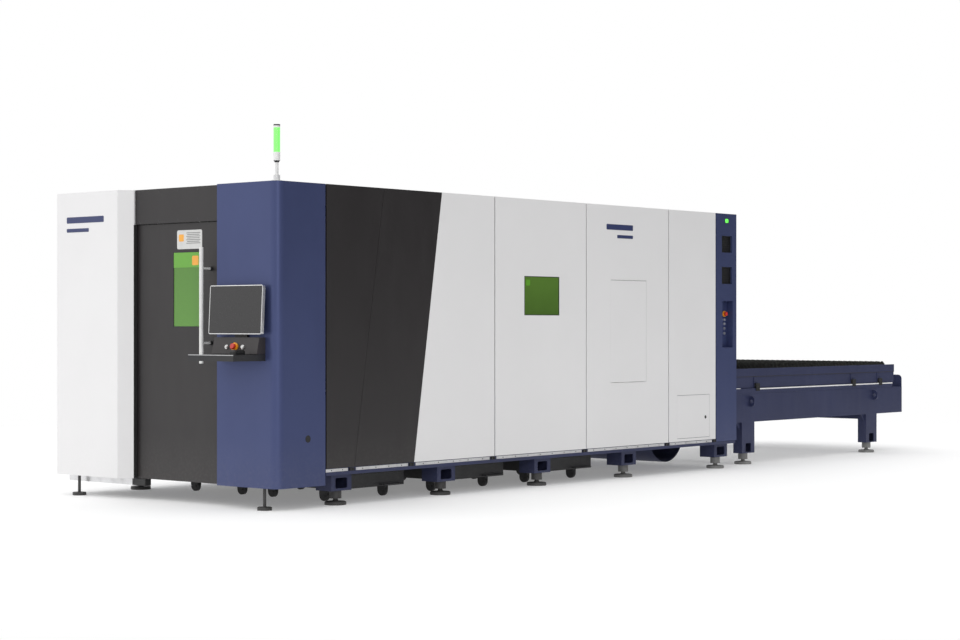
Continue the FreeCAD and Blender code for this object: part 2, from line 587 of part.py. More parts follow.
def service_hatch():
    """Low hatch with a round hole for its latch."""
    y0 = -HALF_WIDTH
    hole = rod(6 + SHAFT_CLEAR, (LATCH_X, y0 - 1, LATCH_Z), (LATCH_X, y0 + SHEET + 1, LATCH_Z))
    return cut(flush_leaf(HATCH), hole)


def hatch_latch():
    """Quarter-turn latch: a low knob with a wing on a short spindle."""
    y0 = -HALF_WIDTH
    knob = rod(LATCH_RADIUS, (LATCH_X, y0 - 1.0, LATCH_Z), (LATCH_X, y0 - 0.3, LATCH_Z))
    spindle = rod(6, (LATCH_X, y0 - 0.5, LATCH_Z), (LATCH_X, y0 + SHEET + 3.5, LATCH_Z))
    cam = box(LATCH_X - 7, LATCH_X + 24, y0 + SHEET + 0.5, y0 + SHEET + 3.5, LATCH_Z - 7, LATCH_Z + 7)
    return fuse(knob, spindle, cam)


def rear_column(with_controls):
    """Folded column at the cabin's rear corner, at -Y; the near one has vents and a pocket."""
    x0, x1 = SEAM_X[6] + SEAM / 2, REAR_X
    y0 = -HALF_WIDTH
    z0 = BED_Z + FLANGE + 2.0
    skin = fuse(box(x0, x1, y0, y0 + SHEET, z0, TOP_Z),
                box(x0, x0 + SHEET, y0, y0 + PANEL_GAP, z0, TOP_Z),
                box(x1 - SHEET, x1, y0, y0 + REAR_RETURN, z0, TOP_Z))
    if not with_controls:
        return skin
    for a, b, c, d in VENTS:
        skin = recess(skin, a, b, c, d, VENT_DEPTH)
    return recess(skin, *POCKET, POCKET_DEPTH)


def recess(skin, a, b, c, d, depth):
    """Pressed pocket in a side skin, with sheet walls and floor."""
    y0 = -HALF_WIDTH
    tub = cut(box(a - SHEET, b + SHEET, y0, y0 + depth + SHEET, c - SHEET, d + SHEET),
              box(a, b, y0 - 1, y0 + depth, c, d))
    return fuse(cut(skin, box(a, b, y0 - 1, y0 + SHEET + 1, c, d)), tub)


def vent_inserts():
    """Louvred black inserts in the column's square recesses."""
    solids = []
    for a, b, c, d in VENTS:
        y1 = -HALF_WIDTH + VENT_DEPTH
        frame = cut(box(a + 1, b - 1, y1 - 12, y1, c + 1, d - 1),
                    box(a + 9, b - 9, y1 - 13, y1 - 3, c + 9, d - 9))
        blades = []
        count = 8
        pitch = (d - c - 18) / count
        for i in range(count):
            z = c + 9 + pitch * (i + 0.5)
            blades.append(box(a + 8, b - 8, y1 - 10, y1 - 2, z - 2, z + 2))
        solids.append(fuse(frame, *blades))
    return solids


def far_side_panels():
    """Plain folded panels of the far side, one solid each."""
    s = SEAM_X
    return [mirrored(side_panel(a, b, 0, 0)) for a, b in zip((s[0], s[2], s[3], s[4], s[5]),
                                                             (s[2], s[3], s[4], s[5], s[6]))]


def base_strips():
    """Drilled aluminium strips between the panels and the base flange, on both sides."""
    solids = []
    z0, z1 = BED_Z + FLANGE, PANEL_Z - STRIP_GAP
    y0 = -BEAM_OUTER - STRIP_THICK
    for x0, x1 in zip(SEAM_X, SEAM_X[1:]):
        a, b = x0 + 26.0, x1 - 56.0
        if x0 == SEAM_X[0]:
            a = x0 + 5.0
        strip = box(a, b, y0, y0 + STRIP_THICK, z0, z1)
        holes = []
        count = max(2, round((b - a) / 150.0))
        for i in range(count):
            x = a + (b - a) * (i + 0.5) / count
            holes.append(rod(3, (x, y0 - 1, (z0 + z1) / 2), (x, y0 + STRIP_THICK + 1, (z0 + z1) / 2)))
        solids += both_sides(cut(strip, *holes))
    return solids


def seam_blocks():
    """Black panel locks under each seam, and the plug low on the corner column."""
    solids = []
    z0, z1 = BED_Z + FLANGE, PANEL_Z - STRIP_GAP
    y0 = -HALF_WIDTH - 1.0
    for x in SEAM_X[1:]:
        lock = cut(box(x - 40.0, x + 4.0, y0, -BEAM_OUTER, z0, z1),
                   box(x - 16.0, x - 10.0, y0 - 1, y0 + 4, z0 - 1, z1 + 1))
        solids += both_sides(lock)
    head = rod(PLUG_RADIUS + 5, (PLUG_X, -HALF_WIDTH - 0.8, PLUG_Z), (PLUG_X, -HALF_WIDTH, PLUG_Z))
    body = rod(PLUG_RADIUS - 0.3, (PLUG_X, -HALF_WIDTH - 0.5, PLUG_Z), (PLUG_X, -HALF_WIDTH + 12, PLUG_Z))
    solids.append(fuse(head, body))
    return solids


ROOF_Z = TOP_Z - SHEET


def roof_panels():
    """Flat roof sheets between the side skins, one for each bay."""
    x_edges = [FRAME_FRONT + CAP_LAP + 1.0, SEAM_X[0], SEAM_X[3], SEAM_X[4], SEAM_X[5], REAR_X - SHEET]
    half = HALF_WIDTH - PANEL_GAP - 0.5
    solids = []
    for x0, x1 in zip(x_edges, x_edges[1:]):
        solids.append(box(x0 + 1, x1 - 1, -half, half, ROOF_Z, TOP_Z))
    return solids


OPENING_Z = (350.0, 1010.0)


def rear_bulkhead():
    """Rear wall of the cabin with the pallet opening."""
    half = HALF_WIDTH - REAR_RETURN - 1.0
    wall = box(REAR_X - SHEET, REAR_X, -half, half, BED_Z + FLANGE + 2, TOP_Z)
    opening = box(REAR_X - 10, REAR_X + 10, -CHANGER_HALF - 5, CHANGER_HALF + 5, *OPENING_Z)
    hood = box(REAR_X, REAR_X + 12, -half + 20, half - 20, OPENING_Z[1], OPENING_Z[1] + 30)
    return fuse(cut(wall, opening), hood)


def exhaust_trough():
    """Half-round extraction trough hung across the bed on two flat bars, open at its ends."""
    x, z, radius, wall = TROUGH
    half, top = 700.0, BED_Z
    shell = cut(rod(radius, (x, -half, z), (x, half, z)), rod(radius - wall, (x, -half - 1, z), (x, half + 1, z)),
                box(x - radius - 1, x + radius + 1, -half - 1, half + 1, top, z + radius + 1))
    bars = [box(x - radius + 10, x + radius - 10, y - 20, y + 20, top, top + 12) for y in (-500.0, 500.0)]
    ties = [box(a - 20, a + 20, -BEAM_INNER, BEAM_INNER, top, top + 12) for a in (x - 150, x + 60)]
    return fuse(shell, *bars, *ties)


# ---------------------------------------------------------------- console
def console_face_x(z):
    """Sloped front of the console at a height."""
    z0, z1 = CONSOLE_Z
    low, high = (FRONT_X - reach for reach in CONSOLE_REACH)
    return low + (high - low) * (z - z0) / (z1 - z0)


CONSOLE_SLOPE = math.atan2(CONSOLE_REACH[0] - CONSOLE_REACH[1], CONSOLE_Z[1] - CONSOLE_Z[0])
CONSOLE_IN = (math.cos(CONSOLE_SLOPE), 0.0, -math.sin(CONSOLE_SLOPE))   # into the console


def on_face(y, z, out):
    """Point on the axis of a console control, a distance in front of the sloped face."""
    return (console_face_x(z) - out * CONSOLE_IN[0], y, z - out * CONSOLE_IN[2])


BUTTON_Z = (CONSOLE_Z[0] + CONSOLE_Z[1]) / 2 - 10.0
STOP_Y = (CONSOLE_Y[0] + CONSOLE_Y[1]) / 2
CONSOLE_CONTROLS = ((STOP_Y + BUTTON_SPACING, BEZEL_RADIUS), (STOP_Y - BUTTON_SPACING, BEZEL_RADIUS))


def console_housing():
    """Sloped switch box with holes for its controls, and the screen's back bracket."""
    y0, y1 = CONSOLE_Y
    z0, z1 = CONSOLE_Z
    back = FRONT_X

    def outline(y, t):
        return [(console_face_x(z0 + t) + t, y, z0 + t), (back - t, y, z0 + t), (back - t, y, z1 - t),
                (console_face_x(z1 - t) + t, y, z1 - t)]
    shell = cut(prism(outline(y0, 0), (0, y1 - y0, 0)),
                prism(outline(y0 + CONSOLE_SHEET, CONSOLE_SHEET), (0, y1 - y0 - 2 * CONSOLE_SHEET, 0)))
    holes = []
    for y, radius in ((STOP_Y, 9.0), (CONSOLE_CONTROLS[0][0], 9.0), (CONSOLE_CONTROLS[1][0], 9.0)):
        holes.append(rod(radius, on_face(y, BUTTON_Z, 8), on_face(y, BUTTON_Z, -12)))
    spine_y = (SCREEN_Y[0] + SCREEN_Y[1]) / 2
    spine = box(FRONT_X - 14, FRONT_X, spine_y - 60, spine_y + 60, z1, SCREEN_Z[1] - 60)
    pivot_z = (SCREEN_Z[0] + SCREEN_Z[1]) / 2
    ears = []
    for y in (spine_y - 56, spine_y + 44):
        ear = box(FRONT_X - 30, FRONT_X - 14, y, y + 12, pivot_z - 14, pivot_z + 14)
        ears.append(ear)
    pin_x = FRONT_X - 22.0
    bore = rod(5 + RUNNING, (pin_x, spine_y - 60, pivot_z), (pin_x, spine_y + 60, pivot_z))
    return cut(fuse(cut(shell, *holes), spine, *ears), bore)


def keyboard_tray():
    """Shallow folded shelf in front of the console."""
    y0, y1 = CONSOLE_Y
    z1, z0 = TRAY_TOP, TRAY_TOP - TRAY_THICK
    x0 = FRONT_X - TRAY_REACH
    shelf = cut(box(x0, FRONT_X, y0, y1, z0, z1),
                box(x0 + SHEET, FRONT_X - SHEET, y0 + SHEET, y1 - SHEET, z0 - 1, z1 - SHEET))
    seat = box(console_face_x(CONSOLE_Z[0]) + 4, FRONT_X, y0 + 4, y1 - 4, z1, CONSOLE_Z[0])
    return fuse(shelf, seat)


def screen_unit():
    """Flat screen with rounded corners, leaning back a little, with its pivot lug and pin."""
    y0, y1 = SCREEN_Y
    z0, z1 = SCREEN_Z
    x0 = FRONT_X - SCREEN_STAND
    body = box(x0, x0 + SCREEN_THICK, y0, y1, z0, z1)
    level = [e for e in body.Edges if abs(e.tangentAt(e.FirstParameter).x) > 0.99]
    body = body.makeFillet(SCREEN_CORNER, level)
    rim = SCREEN_RIM
    glass = box(x0 - 1, x0 + 2, y0 + rim, y1 - rim, z0 + rim, z1 - rim)
    body = cut(body, glass)
    middle_z = (z0 + z1) / 2
    middle_y = (y0 + y1) / 2
    body.rotate(Vec(x0, middle_y, middle_z), Vec(0, 1, 0), SCREEN_LEAN)
    pin_x = FRONT_X - 22.0
    lug = fuse(box(x0 + SCREEN_THICK - 4, pin_x, middle_y - 40, middle_y + 40, middle_z - 7.2, middle_z + 7.2),
               rod(7.2, (pin_x, middle_y - 40, middle_z), (pin_x, middle_y + 40, middle_z)))
    pin = rod(5, (pin_x, middle_y - 56, middle_z), (pin_x, middle_y + 56, middle_z))
    return fuse(body, lug, pin)


def collar(base, inward, radius, height):
    """Ring on a panel round a button's shaft."""
    base, inward = Vec(*base), Vec(*inward)
    ring = Part.makeCylinder(radius, height, base - inward * height, inward)
    bore = Part.makeCylinder(SHAFT_RADIUS + SHAFT_CLEAR, height + 2, base - inward * (height + 1), inward)
    return cut(ring, bore)


POCKET_FACE_Y = -HALF_WIDTH + POCKET_DEPTH
INTO_SIDE = (0.0, 1.0, 0.0)


def controls():
    """Stop buttons, push buttons and their collars, by node name."""
    stop_base = on_face(STOP_Y, BUTTON_Z, 0)
    rear_base = (POCKET_BUTTON_X, POCKET_FACE_Y, POCKET_STOP_Z)
    nodes = {
        "estop_bases": [collar(stop_base, CONSOLE_IN, STOP_COLLAR, 9),
                        collar(rear_base, INTO_SIDE, STOP_COLLAR - 4, 9)],
        "estop_button": control_cap(stop_base, CONSOLE_IN, STOP_RADIUS, 16, 16, 13),
        "rear_estop_button": control_cap(rear_base, INTO_SIDE, STOP_RADIUS - 2, 16, 16, -5),
    }
    bezels = []
    for name, y in (("start_button", CONSOLE_CONTROLS[0][0]), ("stop_button", CONSOLE_CONTROLS[1][0])):
        base = on_face(y, BUTTON_Z, 0)
        nodes[name] = control_cap(base, CONSOLE_IN, BUTTON_RADIUS, 4, 10, 13)
        bezels.append(collar(base, CONSOLE_IN, BEZEL_RADIUS, 6))
    for i, z in enumerate(POCKET_BUTTON_Z):
        base = (POCKET_BUTTON_X, POCKET_FACE_Y, z)
        nodes["rear_button_%d" % (i + 1)] = control_cap(base, INTO_SIDE, BUTTON_RADIUS - 1, 4, 10, -3.5)
        bezels.append(collar(base, INTO_SIDE, BEZEL_RADIUS - 2, 6))
    nodes["button_bezels"] = bezels
    return nodes


def control_cap(base, inward, radius, thick, stand, shaft):
    """Button head standing off its panel on a shaft; shaft is its depth past the panel's face."""
    base, inward = Vec(*base), Vec(*inward)
    head = Part.makeCylinder(radius, thick, base - inward * (stand + thick), inward)
    rim = [e for e in head.Edges if len(e.Vertexes) == 1
           and (e.CenterOfMass - (base - inward * (stand + thick))).Length < 0.5]
    head = head.makeFillet(min(thick * 0.4, 5), rim)
    stalk = Part.makeCylinder(SHAFT_RADIUS, stand + shaft, base - inward * stand, inward)
    return fuse(head, stalk)


# ---------------------------------------------------------------- lamp tower
def lamp_tower():
    """Signal lamp on the roof corner: pole with base, green lens, dark collar and cap."""
    def disc(radius, z0, z1):
        return rod(radius, (LAMP_X, LAMP_Y, z0), (LAMP_X, LAMP_Y, z1))
    z = TOP_Z
    pole_radius, cone_z = LAMP_POLE
    base = fuse(disc(LAMP_FLANGE[0], z, z + LAMP_FLANGE[1]), disc(LAMP_SOCKET[0], z + LAMP_FLANGE[1], z + LAMP_SOCKET[1]),
                disc(pole_radius, z + LAMP_SOCKET[1], z + cone_z))
    shell = disc(LAMP_RADIUS, z + LAMP_SHELL[0], z + LAMP_SHELL[1])
    lens_radius, lens_top = LAMP_LENS
    top_ring = disc(LAMP_RADIUS, z + lens_top, z + LAMP_RING)
    collar_piece = Part.makeCone(LAMP_CONE, LAMP_RADIUS, LAMP_SHELL[0] - cone_z, Vec(LAMP_X, LAMP_Y, z + cone_z))
    cap = disc(LAMP_RADIUS, z + LAMP_RING, z + LAMP_CAP)
    lens = disc(lens_radius, z + LAMP_SHELL[1], z + lens_top)
    return {"tower_light_pole": [base, shell, top_ring],
            "tower_light_lens": lens,
            "tower_light_caps": [collar_piece, cap]}


# ---------------------------------------------------------------- pallet changer
CHANGER_X = (REAR_X + CHANGER_GAP, END_X)
CHANGER_Z = (RUN_UPPER - CHANGER_DEPTH, RUN_UPPER)


def changer_frame():
    """Welded changer: channel beams on hollow legs, cross tubes, lifting eyes and an end guard."""
    y0 = -CHANGER_HALF
    x0, x1 = CHANGER_X
    z0, z1 = CHANGER_Z
    inner = y0 + CHANGER_LEG[1]
    ledge = ledge_inner()
    side = [box(x0, x1, y0, y0 + CHANNEL_WALL, z0, z1),
            box(x0, x1, y0 + CHANNEL_WALL, -ledge, z1 - LEDGE_THICK, z1),
            box(x0, x1, y0 + CHANNEL_WALL, -ledge, z0, RUN_LOWER)]
    side += [leg_block(x, y0, CHANGER_LEG, LEG_BOTTOM, z0, CHANGER_LEG_HOLE,
                       LEG_BOTTOM + CHANGER_LEG_HOLE[1] / 2 + 8) for x in CHANGER_LEG_X]
    side += [lifting_eye(x, y0) for x in (CHANGER_LEG_X[0] + 26, CHANGER_LEG_X[1] + 26)]
    run = 70.0
    for x in CHANGER_LEG_X:
        a, b = x - CHANGER_LEG[0] / 2, y0 + 20
        side.append(prism([(a, b, z0), (a, b, z0 - run), (a - run, b, z0)], (0, 8, 0)))
    solids = []
    for piece in side:
        solids += both_sides(piece)
    solids += [box(x - 40, x + 40, inner, -inner, *CHANGER_CROSS) for x in CHANGER_LEG_X]
    solids.append(box(x1 - 60, x1, -ledge, ledge, z0, z0 + 80))
    solids.append(box(x1 - 10, x1 - 2, -ledge, ledge, z0 + 80, z1))
    guard = box(x1 - 10, x1 - 2, y0, -y0, z1, z1 + GUARD_HEIGHT)
    corners = [e for e in guard.Edges if abs(e.tangentAt(e.FirstParameter).x) > 0.99
               and e.BoundBox.ZMin > z1 + GUARD_HEIGHT - 1]
    solids.append(guard.makeFillet(40, corners))
    return solids


def lifting_eye(x, face_y):
    """Curved lifting lug standing out of the beam."""
    z1 = CHANGER_Z[1] - 22.0
    plate = box(x - 9, x + 9, face_y - 52, face_y, z1 - 92, z1)
    outer = [e for e in plate.Edges if abs(e.tangentAt(e.FirstParameter).x) > 0.99
             and e.BoundBox.YMax < face_y - 50]
    plate = plate.makeFillet(30, outer)
    hole = rod(17, (x - 10, face_y - 24, z1 - 46), (x + 10, face_y - 24, z1 - 46))
    return cut(plate, hole)


PALLET_X = (REAR_X + PALLET_GAP, REAR_X + PALLET_GAP + PALLET_LENGTH)
PALLET_HALF = CHANGER_HALF - CHANNEL_WALL - SIDE_CLEAR - PALLET_BAND_PROUD
WHEEL_Y = PALLET_HALF - 20.0 - WHEEL_WIDTH / 2


def pallet_frame(x0, run_z):
    """Pallet weldment: channel sides, end and cross members, slat bearers and axle lugs."""
    x1 = x0 + PALLET_LENGTH
    z0 = run_z + PALLET_RAISE
    z1 = z0 + PALLET_HEIGHT
    y0 = -PALLET_HALF
    seat_z = z1 + SLAT_PROUD - SLAT_HEIGHT
    inner = y0 + PALLET_FLANGE
    wall = PALLET_WALL
    side = [box(x0, x1, y0, y0 + wall, z0, z1),
            box(x0, x1, y0 - PALLET_BAND_PROUD, y0, z1 - PALLET_BAND, z1),
            box(x0, x1, y0 + wall, inner, z0, z0 + wall),
            box(x0, x1, y0 + wall, inner, seat_z - wall, seat_z)]
    for i, offset in enumerate(WHEEL_OFFSETS):
        x = x0 + offset
        axle_z = run_z + ROLL_GAP + WHEEL_RADIUS
        plate_y = -WHEEL_Y + WHEEL_WIDTH / 2 + 1.0
        side.append(fuse(box(x - 20, x + 20, plate_y, plate_y + 8, axle_z - 12, z0),
                         rod(WHEEL_BORE - RUNNING, (x, -WHEEL_Y - WHEEL_WIDTH / 2, axle_z), (x, plate_y + 4, axle_z))))
        if i in RIB_WHEELS:
            side.append(box(x - 44, x - 38, y0 - PALLET_BAND_PROUD, y0, z0, z1 - PALLET_BAND))
    solids = []
    for piece in side:
        solids += both_sides(piece)
    ends = [(a, a + 50) for a in (x0, x1 - 50)]
    solids += [box(a, b, y0 + wall, -y0 - wall, z0 + wall, seat_z - wall) for a, b in ends]
    solids += [box(x0 + PALLET_LENGTH * f - 30, x0 + PALLET_LENGTH * f + 30, inner, -inner, z0, z0 + 60)
               for f in (0.25, 0.5, 0.75)]
    solids += [box(x0 + 50, x1 - 50, y - 8, y + 8, z0 + 60, seat_z) for y in (-450.0, 0.0, 450.0)]
    return solids


def slat_outline(x, half, z0, z1):
    """Toothed outline of one slat in the YZ plane."""
    count = int(2 * half / SLAT_TOOTH)
    pitch = 2 * half / count
    points = [(x, -half, z0), (x, half, z0)]
    for i in range(count):
        right = half - i * pitch
        points += [(x, right, z1 - SLAT_TOOTH_DEPTH), (x, right - pitch * 0.35, z1),
                   (x, right - pitch * 0.65, z1)]
    points.append((x, -half, z1 - SLAT_TOOTH_DEPTH))
    return points


def pallet_slats(x0, run_z):
    """Toothed slats standing across the pallet."""
    z1 = run_z + PALLET_RAISE + PALLET_HEIGHT + SLAT_PROUD
    half = ledge_inner() - 5.0
    count = int((PALLET_LENGTH - 40) / SLAT_PITCH)
    start = (PALLET_LENGTH - (count - 1) * SLAT_PITCH) / 2
    one = prism(slat_outline(0, half, z1 - SLAT_HEIGHT, z1), (SLAT_THICK, 0, 0))
    return [moved(one, x0 + start - SLAT_THICK / 2 + i * SLAT_PITCH) for i in range(count)]


def pallet_wheels(x0, run_z):
    """Flanged rollers on the pallet's axles."""
    z = run_z + ROLL_GAP + WHEEL_RADIUS
    solids = []
    for offset in WHEEL_OFFSETS:
        x = x0 + offset
        y = -WHEEL_Y - WHEEL_WIDTH / 2
        wheel = cut(rod(WHEEL_RADIUS, (x, y, z), (x, y + WHEEL_WIDTH, z)),
                    rod(WHEEL_BORE, (x, y - 1, z), (x, y + WHEEL_WIDTH + 1, z)))
        solids += both_sides(wheel)
    return solids


def drive_unit():
    """Geared motor of the pallet drive under the changer's end member."""
    x = CHANGER_X[1] - 160
    top = RUN_LOWER + PALLET_RAISE - 10
    gearbox = box(x - 100, x + 100, -90, 90, top - 90, top)
    motor = rod(58, (x, 90, top - 66), (x, 330, top - 66))
    shaft = rod(14, (x, -860, top - 30), (x, -90, top - 30))
    fins = [cut(rod(64, (x, y, top - 66), (x, y + 5, top - 66)),
                rod(50, (x, y - 1, top - 66), (x, y + 6, top - 66))) for y in range(120, 300, 20)]
    return fuse(gearbox, motor, *fins, shaft)


# ---------------------------------------------------------------- scrap carts
def scrap_cart(centre):
    """Low scrap bin on four axles of fixed wheels, with a tow bar; walls and wheels are own solids."""
    x0, x1 = centre - CART_HALF, centre + CART_HALF
    y0, y1 = CART_FRONT_Y, CART_BACK_Y
    z0, z1 = CART_Z
    t = CART_SHEET
    solids = [box(x0, x1, y0, y1, z0, z0 + t), box(x0, x0 + t, y0, y1, z0 + t, z1),
              box(x1 - t, x1, y0, y1, z0 + t, z1), box(x0 + t, x1 - t, y1 - t, y1, z0 + t, z1),
              box(x0 + t, x1 - t, y0, y0 + t, z0 + t, z1), box(x0 + 60, x1 - 60, y0 - t, y0, z0 + 30, z1 - 12)]
    for y in CART_AXLE_Y:
        for side in (-1, 1):
            solids += cart_wheel(centre + side * CART_WHEEL_X, y, z0)
    return solids + [tow_bar(x1 - 250, x1 - 60, y0, z0 + 14)]


def cart_wheel(x, y, top):
    """Fork with its axle, and the wheel that runs on it."""
    half = CASTER_WIDTH / 2
    ends = ((x - half - 5, y, CASTER_RADIUS), (x + half + 5, y, CASTER_RADIUS))
    plates = [box(x + dx, x + dx + 4, y - 16, y + 16, CASTER_RADIUS - 10, top) for dx in (-half - 5, half + 1)]
    wheel = cut(rod(CASTER_RADIUS, (x - half, y, CASTER_RADIUS), (x + half, y, CASTER_RADIUS)),
                rod(CASTER_BORE, (x - 2 * half, y, CASTER_RADIUS), (x + 2 * half, y, CASTER_RADIUS)))
    return [fuse(*plates, rod(CASTER_BORE - RUNNING, *ends)), wheel]


def tow_bar(x0, x1, face_y, z):
    """Round pull bar standing off the bin's front on two arms."""
    bar_y = face_y - 40
    arms = [rod(5, (x, bar_y, z), (x, face_y, z)) for x in (x0, x1)]
    return fuse(rod(6, (x0 - 6, bar_y, z), (x1 + 6, bar_y, z)), *arms)


# ---------------------------------------------------------------- gantry
def gantry_rails():
    """Linear rails on top of the bed's beams."""
    y = BEAM_INNER + RAIL_INSET
    rail = box(BED_X[0] + 40, SEAM_X[5], -y - RAIL_WIDTH / 2, -y + RAIL_WIDTH / 2, BED_TOP, BED_TOP + RAIL_HEIGHT)
    return both_sides(rail)


def gantry_beam():
    """Box beam on two end plates with truck blocks over the rails, and its front rails."""
    deep, tall = GANTRY_SIZE
    y = BEAM_INNER + RAIL_INSET
    z0 = BED_TOP + RAIL_HEIGHT + TRUCK_GAP
    beam_z = z0 + GANTRY_LIFT + 210.0
    half = TUBE_FACE - TUBE - 12.0
    beam = cut(box(GANTRY_X - deep / 2, GANTRY_X + deep / 2, -half, half, beam_z, beam_z + tall),
               box(GANTRY_X - deep / 2 + GANTRY_WALL, GANTRY_X + deep / 2 - GANTRY_WALL, -half - 1, half + 1,
                   beam_z + GANTRY_WALL, beam_z + tall - GANTRY_WALL))
    solids = [beam]
    for side in (-1, 1):
        solids.append(box(GANTRY_X - deep / 2, GANTRY_X + deep / 2, side * (y - 40), side * (y + 20),
                          z0 + TRUCK_HEIGHT, beam_z))
        for dx in (-deep / 2 + 10, deep / 2 - 90):
            solids.append(box(GANTRY_X + dx, GANTRY_X + dx + 80, side * (y - 34), side * (y + 20),
                              z0, z0 + TRUCK_HEIGHT))
    front = GANTRY_X - deep / 2
    for z in (beam_z + 40, beam_z + tall - 60):
        solids.append(box(front - 24, front, -half + 60, half - 60, z, z + 24))
    return solids


def gantry_front():
    """Front face of the beam's rails and the beam's lower level."""
    z0 = BED_TOP + RAIL_HEIGHT + TRUCK_GAP + GANTRY_LIFT + 210.0
    return GANTRY_X - GANTRY_SIZE[0] / 2 - 24.0, z0


def head_carriage():
    """Plate with a Z guide, riding on the beam's rails."""
    front, z0 = gantry_front()
    tall = GANTRY_SIZE[1]
    plate = box(front - 26, front - GUIDE_GAP, -110, 110, z0 - 10, z0 + tall + 30)
    guide = [box(front - 44, front - 26, y - 9, y + 9, z0 - 6, z0 + tall + 26) for y in (-60, 60)]
    motor = box(front - 26, front + 120, -50, 50, z0 + tall + 6, z0 + tall + 110)
    return fuse(plate, *guide, motor)


def cutting_head():
    """Z slide with the cutting head and nozzle."""
    front, z0 = gantry_front()
    x = front - 44 - GUIDE_GAP
    tip = RUN_UPPER + PALLET_RAISE + PALLET_HEIGHT + SLAT_PROUD + NOZZLE_REST
    plate = box(x - 20, x, -75, 75, z0 + 60, z0 + 240)
    body = box(x - 100, x - 20, -45, 45, tip + 90, z0 + 220)
    top = rod(30, (x - 60, 0, z0 + 220), (x - 60, 0, z0 + 280))
    neck = rod(28, (x - 60, 0, tip + 30), (x - 60, 0, tip + 90))
    nozzle = Part.makeCone(8, 28, 30, Vec(x - 60, 0, tip))
    return fuse(plate, body, top, neck, nozzle)


def mouse():
    """Small pointing device lying on the shelf."""
    x, y = FRONT_X - TRAY_REACH + 120.0, CONSOLE_Y[0] + 90.0
    body = box(x - 52, x + 52, y - 30, y + 30, TRAY_TOP, TRAY_TOP + 34)
    upper = [e for e in body.Edges if e.BoundBox.ZMin > TRAY_TOP + 33]
    upright = [e for e in body.Edges if abs(e.tangentAt(e.FirstParameter).z) > 0.99]
    return body.makeFillet(16, upper + upright)


def main():
    """Writes every node."""
    os.makedirs("parts", exist_ok=True)
    nodes = {
        "bed_frame": bed_frame(),
        "enclosure_frame": enclosure_frame(),
        "levelling_feet": levelling_feet(),
        "corner_column": corner_column(),
        "front_header": front_header(),
        "front_left_cover": front_left_cover(),
        "door_tracks": door_tracks(),
        "door_panel": door_panel(),
        "door_window": door_window(),
        "door_handle": door_handle(),
        "side_window": side_window(),
        "access_door": flush_leaf(ACCESS),
        "service_hatch": service_hatch(),
        "hatch_latch": hatch_latch(),
        "rear_columns": [rear_column(True), mirrored(rear_column(False))],
        "vent_inserts": vent_inserts(),
        "far_side_panels": far_side_panels(),
        "base_strips": base_strips(),
        "seam_blocks": seam_blocks(),
        "roof_panels": roof_panels(),
        "rear_bulkhead": rear_bulkhead(),
        "exhaust_trough": exhaust_trough(),
        "console_housing": console_housing(),
        "keyboard_tray": keyboard_tray(),
        "mouse": mouse(),
        "screen_unit": screen_unit(),
        "changer_frame": changer_frame(),
        "drive_unit": drive_unit(),
        "upper_pallet_frame": pallet_frame(PALLET_X[0], RUN_UPPER),
        "upper_pallet_slats": pallet_slats(PALLET_X[0], RUN_UPPER),
        "upper_pallet_wheels": pallet_wheels(PALLET_X[0], RUN_UPPER),
        "lower_pallet_frame": pallet_frame(PALLET_X[0] - PALLET_TRAVEL, RUN_LOWER),
        "lower_pallet_slats": pallet_slats(PALLET_X[0] - PALLET_TRAVEL, RUN_LOWER),
        "lower_pallet_wheels": pallet_wheels(PALLET_X[0] - PALLET_TRAVEL, RUN_LOWER),
        "gantry_rails": gantry_rails(),
        "gantry_beam": gantry_beam(),
        "head_carriage": head_carriage(),
        "cutting_head": cutting_head(),
    }
    nodes.update(near_panels())
    nodes.update(controls())
    nodes.update(lamp_tower())
    for i, centre in enumerate(CART_CENTRES):
        nodes["scrap_cart_%d" % (i + 1)] = scrap_cart(centre)
    for name, solids in nodes.items():
        save(name, solids)
    print(len(nodes), "nodes")


main()
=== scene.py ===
"""Looks of a fibre laser sheet cutting machine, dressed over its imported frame."""
import logging
import math
from dataclasses import dataclass
from enum import Enum
from typing import Iterable, Sequence

import bmesh
import bpy
from mathutils import Euler, Matrix, Vector


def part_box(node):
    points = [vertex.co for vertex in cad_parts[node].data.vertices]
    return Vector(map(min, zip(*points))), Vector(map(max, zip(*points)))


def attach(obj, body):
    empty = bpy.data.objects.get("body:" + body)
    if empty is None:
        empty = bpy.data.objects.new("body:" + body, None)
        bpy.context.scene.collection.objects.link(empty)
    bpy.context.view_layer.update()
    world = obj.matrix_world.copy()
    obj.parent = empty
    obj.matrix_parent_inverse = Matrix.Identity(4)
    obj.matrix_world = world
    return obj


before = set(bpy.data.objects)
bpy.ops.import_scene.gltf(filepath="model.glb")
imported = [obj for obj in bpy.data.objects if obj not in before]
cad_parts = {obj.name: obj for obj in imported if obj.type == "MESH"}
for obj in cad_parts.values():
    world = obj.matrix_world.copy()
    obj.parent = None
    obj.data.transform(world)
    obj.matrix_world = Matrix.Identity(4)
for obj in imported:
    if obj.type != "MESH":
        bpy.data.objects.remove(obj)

LOG = logging.getLogger("laser_cutter")
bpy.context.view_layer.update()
Pair = tuple[float, float]
Point = tuple[float, float, float]
Colour = tuple[float, float, float]
Socket = bpy.types.NodeSocket
Tone = Colour | Socket
WHITE_LIGHT = (1.0, 1.0, 1.0, 1.0)
PANE_SEAT = 0.012
SEAL_PROUD = 0.0036
HALF_SEAM = 0.006
EDGE_SHARE = 0.35
PLATE_BEVEL = 0.0008
BAR_HEIGHT = 0.045
BAR_RADIUS = 0.008
BAR_DROP = 0.075
SHORT_BAR = 0.6
SHORT_BAR_RADIUS = 0.006


